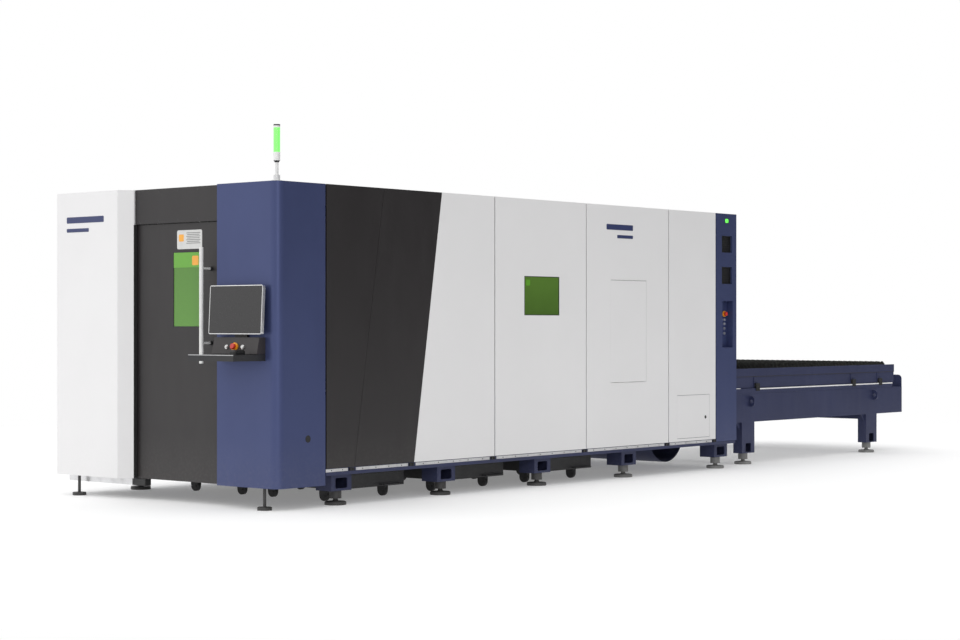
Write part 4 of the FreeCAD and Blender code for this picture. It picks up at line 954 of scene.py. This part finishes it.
@dataclass
class OperatorEnd(SubAssembly):
    """Small fittings of the door, the header, the white cover and the corner column."""

    pane_rim: float = PANE_SEAT + 0.002
    band_height: float = 0.11
    band_proud: float = 0.0021
    band_gap: float = 0.0001
    pane_seal_width: float = 0.004
    return_depth: float = 0.044
    return_seal_thick: float = 0.006
    door_clear: float = 0.003
    sheet_clear: float = 0.002
    # the next two place the black block of painted shade behind the header gap
    gap_fill_depths: Pair = (0.0025, 0.004)
    gap_shade_drops: Pair = (0.0054, 0.0006)
    track_middle: float = 0.018
    track_half: float = 0.0265
    track_near: float = 0.0995
    track_far: float = 0.042
    track_drops: Pair = (0.051, 0.0035)
    cover_sheets: Pair = (0.0014, 0.0013)
    rating: Sheet = Sheet(0.26, 0.133, 0.0015, 0.014)
    rating_gap: float = 0.019
    rating_shift: float = 0.02
    rules: int = 7
    rule_top: float = 0.046
    rule_pitch: float = 0.012
    rule_shift: float = 0.04
    rule_shares: Pair = (0.56, 0.5)
    rule_height: float = 0.005
    rule_thick: float = 0.0004
    rule_radius: float = 0.0015
    rating_patch: Sheet = Sheet(0.052, 0.05, 0.0004, 0.008)
    rating_patch_at: Pair = (0.045, 0.012)
    pane_patch: Sheet = Sheet(0.066, 0.066, 0.0006, 0.01)
    patch_proud: float = 0.0022
    patch_inset: float = 0.085
    patch_drop: float = 0.074
    handle_posts: Pair = (0.141, 0.147)
    flange: tuple[Pair, ...] = ((0.021, 0.0), (0.021, 0.0005), (0.0155, 0.002), (0.0155, 0.015),
                                (0.0142, 0.0165))
    bars_at: Pair = (0.06, 0.2)
    bar_width: float = 0.42
    bar_thick: float = 0.0012
    header_screw: Screw = Screw(0.0045, 0.0012)
    header_inset: float = 0.02
    header_ends: Pair = (0.06, 0.05)
    header_count: int = 5
    door_screw: Screw = Screw(0.0035, 0.0009)
    door_inset: float = 0.04
    door_run: Pair = (0.05, 1.75)
    door_count: int = 8

    def build(self) -> None:
        """Makes every fitting of the end."""
        self.window_trim()
        self.return_seal()
        self.gap_shade()
        self.track_cover()
        self.rating_plate()
        self.pane_corner()
        self.handle_flanges()
        self.cover_bars()
        self.header_screws()
        self.door_screws()

    def window_trim(self) -> None:
        """Brighter band along the top of the pane, and the pane's rubber seal."""
        low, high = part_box("door_window")
        foot, top = high.z - PANE_SEAT - self.band_height, high.z - self.pane_rim
        self.shop.block("door_pane_band", (low.x - self.band_proud, low.y + self.pane_rim, foot),
                        (low.x - self.band_gap, high.y - self.pane_rim, top), "door_band", "door", 0.0004)
        self.shop.pane_seal("door_pane_seal", "door_window", self.pane_seal_width, Way.LEFT, "door")

    def return_seal(self) -> None:
        """Black rubber strip down the cover's return, beside the door."""
        column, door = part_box("corner_column")[0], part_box("door_panel")[0]
        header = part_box("front_header")
        edge = header[1].y
        low = (column.x + self.return_depth, edge - self.return_seal_thick, column.z + self.sheet_clear)
        high = (door.x - self.door_clear, edge, header[0].z - self.sheet_clear)
        self.shop.block("cover_return_seal", low, high, "rubber_black")

    def gap_shade(self) -> None:
        """Black block behind the gap between the door and the header, as painted shade in the gap."""
        (low, high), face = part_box("front_header"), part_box("door_panel")[0].x
        near, far = self.gap_fill_depths
        foot, top = (low.z - drop for drop in self.gap_shade_drops)
        # painted shade: a black block that darkens the gap under the header
        self.shop.block("header_gap_shade", (face + near, low.y + self.sheet_clear, foot),
                        (face + far, high.y - self.sheet_clear, top), "rubber_black", bevel=0.0003)

    def track_cover(self) -> None:
        """Black end cover on the open end of the door's lower track."""
        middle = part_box("door_panel")[0].x + self.track_middle
        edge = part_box("front_header")[1].y
        foot, top = (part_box("front_left_cover")[0].z - drop for drop in self.track_drops)
        corner = (middle - self.track_half, edge - self.track_near, foot)
        face_sheet, end_sheet = self.cover_sheets
        for name, x, y in (("face", corner[0] + face_sheet, edge + self.track_far),
                           ("end", middle + self.track_half, corner[1] + end_sheet)):
            self.shop.block("track_cover_" + name, corner, (x, y, top), "black_plastic", bevel=0.0005)

    def rating_plate(self) -> None:
        """Blank rating plate over the window, with plain rules and an amber patch."""
        face, (low, high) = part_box("door_panel")[0].x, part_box("door_window")
        width = self.rating.width
        y = (low.y + high.y) / 2 - self.rating_shift
        z = high.z - PANE_SEAT + self.rating_gap + self.rating.height / 2
        self.shop.plate("rating_plate", (face, y, z), self.rating, Way.LEFT, "label_grey", "door")
        face -= self.rating.thick
        for i in range(self.rules):
            rule = Sheet(width * self.rule_shares[i % 2], self.rule_height, self.rule_thick, self.rule_radius)
            place = (face, y - self.rule_shift, z + self.rule_top - self.rule_pitch * i)
            self.shop.plate("rating_rule_%d" % (i + 1), place, rule, Way.LEFT, "print_grey", "door")
        across, rise = self.rating_patch_at
        self.shop.plate("rating_patch", (face, y + width / 2 - across, z + rise), self.rating_patch, Way.LEFT,
                        "amber", "door")

    def pane_corner(self) -> None:
        """Plain amber patch in the pane's upper corner."""
        low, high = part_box("door_window")
        place = (low.x - self.patch_proud, low.y + self.patch_inset, high.z - self.patch_drop)
        self.shop.plate("pane_patch", place, self.pane_patch, Way.LEFT, "amber", "door")

    def handle_flanges(self) -> None:
        """Dark flanges where the handle's posts meet the door."""
        (low, high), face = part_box("door_handle"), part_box("door_panel")[0].x
        y = (low.y + high.y) / 2
        foot, top = self.handle_posts
        for i, z in enumerate((low.z + foot, high.z - top)):
            self.shop.lathe("handle_flange_%d" % (i + 1), self.flange, (face, y, z), Way.LEFT,
                            "black_plastic", "door")

    def cover_bars(self) -> None:
        """Plain navy bars on the white cover."""
        low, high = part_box("front_left_cover")
        shift, drop = self.bars_at
        place = (low.x, (low.y + high.y) / 2 + shift, high.z - drop)
        self.shop.bar_pair("cover_bar", place, self.bar_width, self.bar_thick, Way.LEFT)

    def header_screws(self) -> None:
        """Countersunk screws along the header."""
        low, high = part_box("front_header")
        start, end = low.y + self.header_ends[0], high.y - self.header_ends[1]
        rows = [(low.x, y, z) for z in (low.z + self.header_inset, high.z - self.header_inset)
                for y in spaced(start, end, self.header_count)]
        self.screws.add("header_screws", rows, self.header_screw, Way.LEFT)

    def door_screws(self) -> None:
        """Small screws down both edges of the door."""
        low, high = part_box("door_panel")
        start, end = (low.z + level for level in self.door_run)
        rows = [(low.x, y, z) for y in (low.y + self.door_inset, high.y - self.door_inset)
                for z in spaced(start, end, self.door_count)]
        self.screws.add("door_screws", rows, self.door_screw, Way.LEFT, body="door")


@dataclass
class Console(SubAssembly):
    """Screen glass and trim of the operator's station."""

    screen_x: float = -4.317
    screen_levels: Pair = (1.184, 1.515)
    rim: float = 0.005
    glass_gap: float = 0.0005
    glass_sink: float = 0.002
    lean: float = 3.0
    lip_depths: Pair = (0.226, 0.23)
    lip_levels: Pair = (0.0004, 0.004)
    lip_margin: float = 0.012
    # place of the light grey strip of painted highlight along the shelf's front
    highlight_depths: Pair = (-0.001, 0.004)
    highlight_drops: Pair = (0.009, 0.0035)

    def build(self) -> None:
        """Makes the screen's glass and the shelf's trim."""
        self.screen_glass()
        self.shelf_trim()

    def screen_glass(self) -> None:
        """Dark glass set in the screen's rim, leaning with it."""
        low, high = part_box("screen_unit")
        foot, top = self.screen_levels
        inset = 2 * (self.rim + self.glass_gap)
        glass = Sheet(high.y - low.y - inset, top - foot - inset, 0.0016, 0.003)
        sink = Matrix.Rotation(math.radians(self.lean), 3, "Y") @ Vector((self.glass_sink, 0.0, 0.0))
        back = Vector((self.screen_x, (low.y + high.y) / 2, (foot + top) / 2)) + sink
        self.shop.plate("screen_glass", back, glass, Way.LEFT, "dark_glass", "screen", self.lean)

    def shelf_trim(self) -> None:
        """Black lip across the shelf under the switch box, and a light grey strip along its front that is a
        painted highlight on the front's top edge.
        """
        low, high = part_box("keyboard_tray")
        (front, back), (foot, top) = self.lip_depths, self.lip_levels
        self.shop.block("console_lip", (low.x + front, low.y + self.lip_margin, high.z + foot),
                        (low.x + back, high.y - self.lip_margin, high.z + top), "black_plastic",
                        bevel=0.0008)
        # painted highlight: a light grey strip along the top of the shelf's front face
        (front, back), (foot, top) = self.highlight_depths, self.highlight_drops
        self.shop.block("shelf_edge_highlight", (low.x + front, low.y, high.z - foot),
                        (low.x + back, high.y, high.z - top), "grey_bezel", bevel=0.0008)


@dataclass
class LongSide(SubAssembly):
    """Screws, seals and plain marks of the long sides."""

    white_panels: int = 4
    lean: float = 0.303
    liner_clear: float = 0.0002
    gap_fill_depths: Pair = (0.0022, 0.0012)
    strip_pitch: float = 0.15
    strip_first: float = 0.005
    strip_start: float = 0.026
    strip_end: float = 0.056
    lock_drop: float = 0.011
    lock_offset: float = 0.03
    lock_sink: float = 0.0002
    seal_width: float = 0.005
    corner_patch: Sheet = Sheet(0.045, 0.045, 0.0008, 0.008)
    corner_inset: float = 0.062
    bars_at: Pair = (0.12, 0.175)
    bar_width: float = 0.36
    bar_thick: float = 0.0009
    strip_screw: Screw = Screw(0.0035, 0.0014, 1.25)
    lock_screw: Screw = Screw(0.005, 0.0014, 1.3)
    panel_screw: Screw = Screw(0.005, 0.0011, 1.3)
    far_inset: float = 0.03
    far_margin: float = 0.08
    far_count: int = 6

    def build(self) -> None:
        """Makes the fittings of both long sides."""
        self.seam_liners()
        self.strip_screws()
        self.lock_screws()
        self.window_trim()
        self.side_bars()
        self.far_screws()

    def white(self, number: int) -> tuple[Vector, Vector]:
        """Low and high corners of one white panel."""
        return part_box("side_panel_white_%d" % number)

    def seam_liners(self) -> None:
        """Charcoal liners behind the two leaning seams."""
        half = HALF_SEAM - self.liner_clear
        depth, thick = self.gap_fill_depths
        for i, node in enumerate(("side_panel_dark_front", "side_panel_dark_rear")):
            low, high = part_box(node)
            rise = high.z - low.z
            outline = [(-half, 0.0), (half, 0.0), (half + self.lean, rise), (self.lean - half, rise)]
            name = "seam_liner_%d" % (i + 1)
            back = (high.x + HALF_SEAM - self.lean, low.y + depth, low.z)
            mesh = self.shop.cut(name, outline, back, thick, Way.NEAR)
            self.shop.finish(name, mesh, "charcoal_powder", "machine")

    def strip_screws(self) -> None:
        """Screws along the aluminium strips at the panels' feet."""
        low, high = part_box("base_strips")
        z = (low.z + high.z) / 2
        places = self.strip_places()
        for name, y, way in (("near", low.y, Way.NEAR), ("far", high.y, Way.FAR)):
            self.screws.add("strip_screws_" + name, [(x, y, z) for x in places], self.strip_screw, way)

    def strip_places(self) -> list[float]:
        """Places of the strip screws, from the panels' own edges.

        Returns:
            X of each screw.
        """
        edges = [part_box("side_panel_dark_front")[0].x - HALF_SEAM]
        for node in ("side_panel_dark_front", "side_panel_dark_rear"):
            edges.append(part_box(node)[1].x + HALF_SEAM - self.lean)
        edges += [self.white(i)[1].x + HALF_SEAM for i in range(1, self.white_panels + 1)]
        places = []
        for index, (a, b) in enumerate(zip(edges, edges[1:])):
            start = a + (self.strip_start if index else self.strip_first)
            stop = b - self.strip_end
            count = max(2, round((stop - start) / self.strip_pitch))
            places += [start + (stop - start) * (i + 0.5) / count for i in range(count)]
        return places

    def lock_screws(self) -> None:
        """One dark screw in each panel lock."""
        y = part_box("seam_blocks")[0].y + self.lock_sink
        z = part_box("base_strips")[1].z - self.lock_drop
        xs = [self.white(i)[1].x + HALF_SEAM - self.lock_offset for i in range(1, self.white_panels + 1)]
        self.screws.add("lock_screws_near", [(x, y, z) for x in xs], self.lock_screw, Way.NEAR)

    def window_trim(self) -> None:
        """Rubber seal and a small corner patch on the side window."""
        low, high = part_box("side_window")
        self.shop.pane_seal("side_seal", "side_window", self.seal_width, Way.NEAR, "machine")
        self.shop.plate("side_pane_patch", (low.x + self.corner_inset, low.y, high.z - self.corner_inset),
                        self.corner_patch, Way.NEAR, "door_band")

    def side_bars(self) -> None:
        """Plain navy bars high on the third white panel."""
        low, high = self.white(3)
        shift, drop = self.bars_at
        place = ((low.x + high.x) / 2 - shift, low.y, high.z - drop)
        self.shop.bar_pair("side_bar", place, self.bar_width, self.bar_thick, Way.NEAR)

    def far_screws(self) -> None:
        """Panel screws down the far side's edges."""
        low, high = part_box("far_side_panels")
        xs = [self.white(i)[0].x + self.far_inset for i in range(2, self.white_panels + 1)]
        levels = spaced(low.z + self.far_margin, high.z - self.far_margin, self.far_count)
        rows = [(x, high.y, z) for x in xs for z in levels]
        self.screws.add("far_panel_screws", rows, self.panel_screw, Way.FAR, "zinc_steel")


@dataclass
class RearColumn(SubAssembly):
    """Lamp and pocket fittings of the column by the pallet changer."""

    lamp_x: float = 0.162
    lamp_drop: float = 0.062
    lamp_rim: Sheet = Sheet(0.062, 0.045, 0.0006, 0.016)
    lamp: Sheet = Sheet(0.052, 0.035, 0.0008, 0.013)
    lamp_proud: float = 0.0003
    buttons: int = 4
    tag: Sheet = Sheet(0.024, 0.01, 0.0004, 0.002)
    tag_shift: float = 0.036
    socket: Sheet = Sheet(0.03, 0.018, 0.002, 0.003)
    socket_shift: float = 0.002
    socket_drop: float = 0.016

    def build(self) -> None:
        """Makes the column's lamp, the tags beside its buttons and the socket under them."""
        low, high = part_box("rear_columns")
        x, z = low.x + self.lamp_x, high.z - self.lamp_drop
        self.shop.plate("column_lamp_rim", (x, low.y, z), self.lamp_rim, Way.NEAR, "black_plastic")
        self.shop.plate("column_lamp", (x, low.y - self.lamp_proud, z), self.lamp, Way.NEAR,
                        "indicator_green")
        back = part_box("estop_bases")[1].y
        for i in range(1, self.buttons + 1):
            low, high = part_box("rear_button_%d" % i)
            centre = (low + high) / 2
            place = (centre.x - self.tag_shift, back, centre.z)
            self.shop.plate("pocket_tag_%d" % i, place, self.tag, Way.NEAR, "label_grey")
        place = (centre.x - self.socket_shift, back, low.z - self.socket_drop)
        self.shop.plate("pocket_socket", place, self.socket, Way.NEAR, "grey_bezel")


@dataclass
class LampTower(SubAssembly):
    """Ribs and fixing screws of the signal lamp."""

    ribs: int = 22
    bead: float = 0.0007
    rib_margin: float = 0.006
    screw_circle: float = 0.03
    flange_rise: float = 0.007
    screw: Screw = Screw(0.003, 0.002)

    def build(self) -> None:
        """Makes the lens's ribs and the flange's screws."""
        self.lens_ribs()
        self.flange_screws()

    def lens_ribs(self) -> None:
        """Stack of thin rings round the lens."""
        low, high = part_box("tower_light_lens")
        centre = (low + high) / 2
        levels = spaced(low.z + self.rib_margin, high.z - self.rib_margin, self.ribs)
        tree = RingTree("lens_rings", self.shop.palette["lamp_green"])
        sizes = {"Radius": (high.x - low.x) / 2, "Bead": self.bead}
        mesh = tree.grow("lens_ribs", [(centre.x, centre.y, z) for z in levels], sizes)
        self.shop.finish("lens_ribs", mesh, "lamp_green", "machine", smooth=True)

    def flange_screws(self) -> None:
        """Three screws round the foot of the pole."""
        low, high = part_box("tower_light_pole")
        centre = (low + high) / 2
        angles = [math.pi / 6 + k * 2 * math.pi / 3 for k in range(3)]
        spots = [(centre.x + self.screw_circle * math.cos(a), centre.y + self.screw_circle * math.sin(a),
                  low.z + self.flange_rise) for a in angles]
        self.screws.add("lamp_screws", spots, self.screw, Way.UP, "zinc_steel")


@dataclass
class Roof(SubAssembly):
    """Rivets along the roof's sheets."""

    row_offset: float = 0.018
    margin: float = 0.06
    across: int = 14
    rivet: Screw = Screw(0.004, 0.0012, 1.3)

    def build(self) -> None:
        """Makes two rows of rivets across each roof seam."""
        low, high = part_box("roof_panels")
        seams = [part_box("side_panel_white_%d" % i)[0].x - HALF_SEAM for i in range(2, 5)]
        points = [(x, y, high.z) for seam in seams for x in (seam - self.row_offset, seam + self.row_offset)
                  for y in spaced(low.y + self.margin, high.y - self.margin, self.across)]
        self.screws.add("roof_rivets", points, self.rivet, Way.UP, "zinc_steel")


@dataclass
class Changer(SubAssembly):
    """Guide strips of the pallet changer, and the black guides and bumpers of its upper pallet."""

    strip_sides: Pair = (0.977, 0.983)
    strip_ends: Pair = (0.002, 0.185)
    strip_height: float = 0.035
    step_length: float = 0.6
    step_height: float = 0.047
    painted_highlight_height: float = 0.046
    web: float = 0.005
    # sizes of the charcoal strip of painted shadow under the pallet's band
    shadow_line_thick: float = 0.0056
    shadow_line_height: float = 0.0045
    slat_drop: float = 0.1
    wheels: tuple[float, ...] = (0.551, 1.407, 2.263, 2.778)
    ribbed: tuple[int, ...] = (0, 2, 3)
    guide_half: float = 0.03
    guide_depth: float = 0.014
    guide_levels: Pair = (0.016, 0.05)
    bumper_face: float = 0.989
    bumper_levels: Pair = (0.056, 0.091)
    hook_back: float = 0.9856
    hook_foot: float = 0.024

    def build(self) -> None:
        """Makes the strips, guides and bumpers on both sides."""
        for side, sign in (("near", -1.0), ("far", 1.0)):
            self.strips(side, sign)
            self.pallet_shadow_line(side, sign)
            self.guides(side, sign)

    def slab(self, name: str, sign: float, x: Pair, y: Pair, z: Pair, finish: str, body: str) -> None:
        """Block on one side of the middle plane.

        Args:
            name: the piece's name.
            sign: -1 for the near side and 1 for the far side.
            x: where it starts and ends along the machine.
            y: its two distances from the middle plane.
            z: its lowest and highest levels.
            finish: the name of its material.
            body: the body that it rides on.
        """
        low, high = sorted(sign * value for value in y)
        self.shop.block(name, (x[0], low, z[0]), (x[1], high, z[1]), finish, body, 0.0006)

    def strips(self, side: str, sign: float) -> None:
        """Guide strip on the changer's beam, its raised step by the cabin, and a bright white strip along it
        whose brightness is a painted highlight along the beam's top.

        Args:
            side: near or far, for the names.
            sign: the side's sign.
        """
        low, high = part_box("changer_frame")
        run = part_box("upper_pallet_wheels")[0].z
        start, end = low.x + self.strip_ends[0], high.x - self.strip_ends[1]
        step, top = low.x + self.step_length, run + self.strip_height
        # painted highlight: the last row's bright white strip stands in for the shine along the beam's top
        for name, x, z, finish in (("strip", (start, end), (run, top), "navy_weldment"),
                                   ("step", (start, step), (top, run + self.step_height), "navy_weldment"),
                                   ("painted_highlight", (step, end), (top, run + self.painted_highlight_height), "rail_white")):
            self.slab("guide_%s_%s" % (name, side), sign, x, self.strip_sides, z, finish, "machine")

    def pallet_shadow_line(self, side: str, sign: float) -> None:
        """Charcoal strip under the slats' edge, along the pallet's web, as a painted shadow line under the
        band.

        Args:
            side: near or far, for the name.
            sign: the side's sign.
        """
        low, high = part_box("upper_pallet_frame")
        web, top = high.y - self.web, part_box("upper_pallet_slats")[1].z - self.slat_drop
        # painted shadow: a charcoal strip standing in for the shade under the pallet's band
        self.slab("pallet_shadow_line_" + side, sign, (low.x, high.x), (web, web + self.shadow_line_thick),
                  (top - self.shadow_line_height, top), "charcoal_powder", "upper_pallet")

    def guides(self, side: str, sign: float) -> None:
        """Black guide at every wheel, and a hooked bumper at the ribbed ones.

        Args:
            side: near or far, for the names.
            sign: the side's sign.
        """
        low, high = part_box("upper_pallet_frame")
        axle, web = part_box("upper_pallet_wheels")[0].z, high.y - self.web
        guide = ("wheel_guide", (web - self.guide_depth, web), self.guide_levels)
        bumper = ("bumper", (web, self.bumper_face), self.bumper_levels)
        hook = ("bumper_lip", (self.hook_back, self.bumper_face), (self.hook_foot, self.bumper_levels[0]))
        for i, offset in enumerate(self.wheels):
            x = (low.x + offset - self.guide_half, low.x + offset + self.guide_half)
            for name, y, z in (guide, bumper, hook) if i in self.ribbed else (guide,):
                self.slab("%s_%s_%d" % (name, side, i + 1), sign, x, y, (axle + z[0], axle + z[1]),
                          "rubber_black", "upper_pallet")


@dataclass
class ScrapCarts(SubAssembly):
    """Black shrouds over the scrap carts' wheels."""

    carts: int = 3
    axles: tuple[float, ...] = (0.178, 0.702, 1.025, 1.531)
    wheel_x: float = 0.3
    bar_reach: float = 0.046
    shroud_half: Pair = (0.0185, 0.039)
    shroud_levels: Pair = (0.046, 0.0895)

    def build(self) -> None:
        """Makes one shroud over each wheel of each cart."""
        (wide, deep), (foot, top) = self.shroud_half, self.shroud_levels
        for cart in range(1, self.carts + 1):
            low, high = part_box("scrap_cart_%d" % cart)
            middle = (low.x + high.x) / 2
            for i, axle in enumerate(self.axles):
                y = low.y + self.bar_reach + axle
                for side, x in (("left", middle - self.wheel_x), ("right", middle + self.wheel_x)):
                    name = "caster_shroud_%d_%s_%d" % (cart, side, i + 1)
                    self.shop.block(name, (x - wide, y - deep, foot), (x + wide, y + deep, top),
                                    "black_powder", "cart_%d" % cart, 0.004)


# ---------------------------------------------------------------- studio
@dataclass
class Studio:
    """Pale floor, soft light and the camera."""

    eye: Point = (-13.714, -10.926, 1.250)
    heading: float = -49.73
    lens: float = 76.34
    sensor: float = 36.0
    rise: float = 0.0046
    floor_radius: float = 9.5
    floor_tone: float = 0.8
    floor_rough: float = 0.8
    floor_shine: float = 0.1
    floor_glow: float = 0.22
    fill: float = 0.6
    slope: Point = (-0.34, 0.34, 0.0)
    overhead: float = 0.95
    darkest: float = 0.02
    key_place: Point = (-12.5, -13.5, 5.0)
    key_target: Point = (-3.0, 0.0, 1.2)
    key_size: Pair = (2.2, 4.5)
    key_power: float = 330.0

    def build(self) -> None:
        """Makes the whole stage."""
        self.floor()
        self.world()
        self.key_box()
        self.camera()

    def floor(self) -> None:
        """Plain white sweep on the ground."""
        work = bmesh.new()
        bmesh.ops.create_circle(work, cap_ends=True, radius=self.floor_radius, segments=96)
        mesh = Shop.to_mesh("studio_floor", work)
        floor = bpy.data.objects.new("studio_floor", mesh)
        bpy.context.scene.collection.objects.link(floor)
        kit = NodeKit("studio_floor")
        kit.fix("Base Color", (self.floor_tone, self.floor_tone, self.floor_tone, 1.0))
        kit.fix("Roughness", self.floor_rough)
        kit.fix("Specular IOR Level", self.floor_shine)
        kit.fix("Emission Color", WHITE_LIGHT)
        kit.fix("Emission Strength", self.floor_glow)
        mesh.materials.append(kit.material)

    def world(self) -> None:
        """Soft surroundings, brighter overhead and towards the end cover than towards the long side."""
        world = bpy.data.worlds.new("studio")
        bpy.context.scene.world = world
        world.use_nodes = True
        wires = Wires(world.node_tree)
        back = wires.tree.nodes["Background"]
        back.inputs["Color"].default_value = WHITE_LIGHT
        direction = wires.add("ShaderNodeTexCoord").outputs["Generated"]
        across = wires.add("ShaderNodeVectorMath", operation="DOT_PRODUCT")
        across.inputs[1].default_value = self.slope
        wires.join(direction, across.inputs[0])
        split = wires.add("ShaderNodeSeparateXYZ")
        wires.join(direction, split.inputs[0])
        rise = wires.math("POWER", wires.math("MAXIMUM", split.outputs["Z"], 0.0), 2.0)
        level = wires.math("ADD", across.outputs["Value"], self.fill)
        level = wires.math("ADD", level, wires.math("MULTIPLY", rise, self.overhead))
        pick = wires.add("ShaderNodeMix")
        pick.inputs["B"].default_value = 1.0
        wires.join(wires.add("ShaderNodeLightPath").outputs["Is Camera Ray"], pick.inputs["Factor"])
        wires.join(wires.math("MAXIMUM", level, self.darkest), pick.inputs["A"])
        wires.join(pick.outputs["Result"], back.inputs["Strength"])

    def key_box(self) -> None:
        """Large soft light in front of the operator's end, aimed at the machine."""
        data = bpy.data.lights.new("key_box", "AREA")
        data.shape = "RECTANGLE"
        data.size, data.size_y = self.key_size
        data.energy = self.key_power
        lamp = bpy.data.objects.new("key_box", data)
        lamp.location = self.key_place
        aim = Vector(self.key_target) - Vector(self.key_place)
        lamp.rotation_euler = aim.to_track_quat("-Z", "Y").to_euler()
        bpy.context.scene.collection.objects.link(lamp)

    def camera(self) -> None:
        """Level camera at standing height."""
        data = bpy.data.cameras.new("camera")
        data.lens = self.lens
        data.sensor_width = self.sensor
        data.shift_y = self.rise
        data.clip_end = 100.0
        camera = bpy.data.objects.new("camera", data)
        camera.location = self.eye
        camera.rotation_euler = (math.radians(90.0), 0.0, math.radians(self.heading))
        bpy.context.scene.collection.objects.link(camera)
        bpy.context.scene.camera = camera
        bpy.context.scene.view_settings.view_transform = "Standard"


def dress_frame(palette: Palette) -> None:
    """Gives every CAD node its finish.

    Args:
        palette: the machine's finishes.
    """
    for name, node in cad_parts.items():
        finish = palette[CAD_FINISH[name]]
        for slot in node.material_slots:
            slot.material = finish
        LOG.info("%s gets %s", name, finish.name)


def main() -> None:
    """Builds the studio, then each sub-assembly in turn."""
    logging.basicConfig(level=logging.INFO, format="%(message)s")
    Studio().build()
    palette = Palette()
    dress_frame(palette)
    shop = Shop(palette)
    screws = Fasteners(shop)
    for kind in (OperatorEnd, Console, LongSide, RearColumn, LampTower, Roof, Changer, ScrapCarts):
        kind(shop, screws).build()
        LOG.info("%s done", kind.__name__)
    LOG.info("%d pieces added", shop.made)


if __name__ == "__main__":
    main()
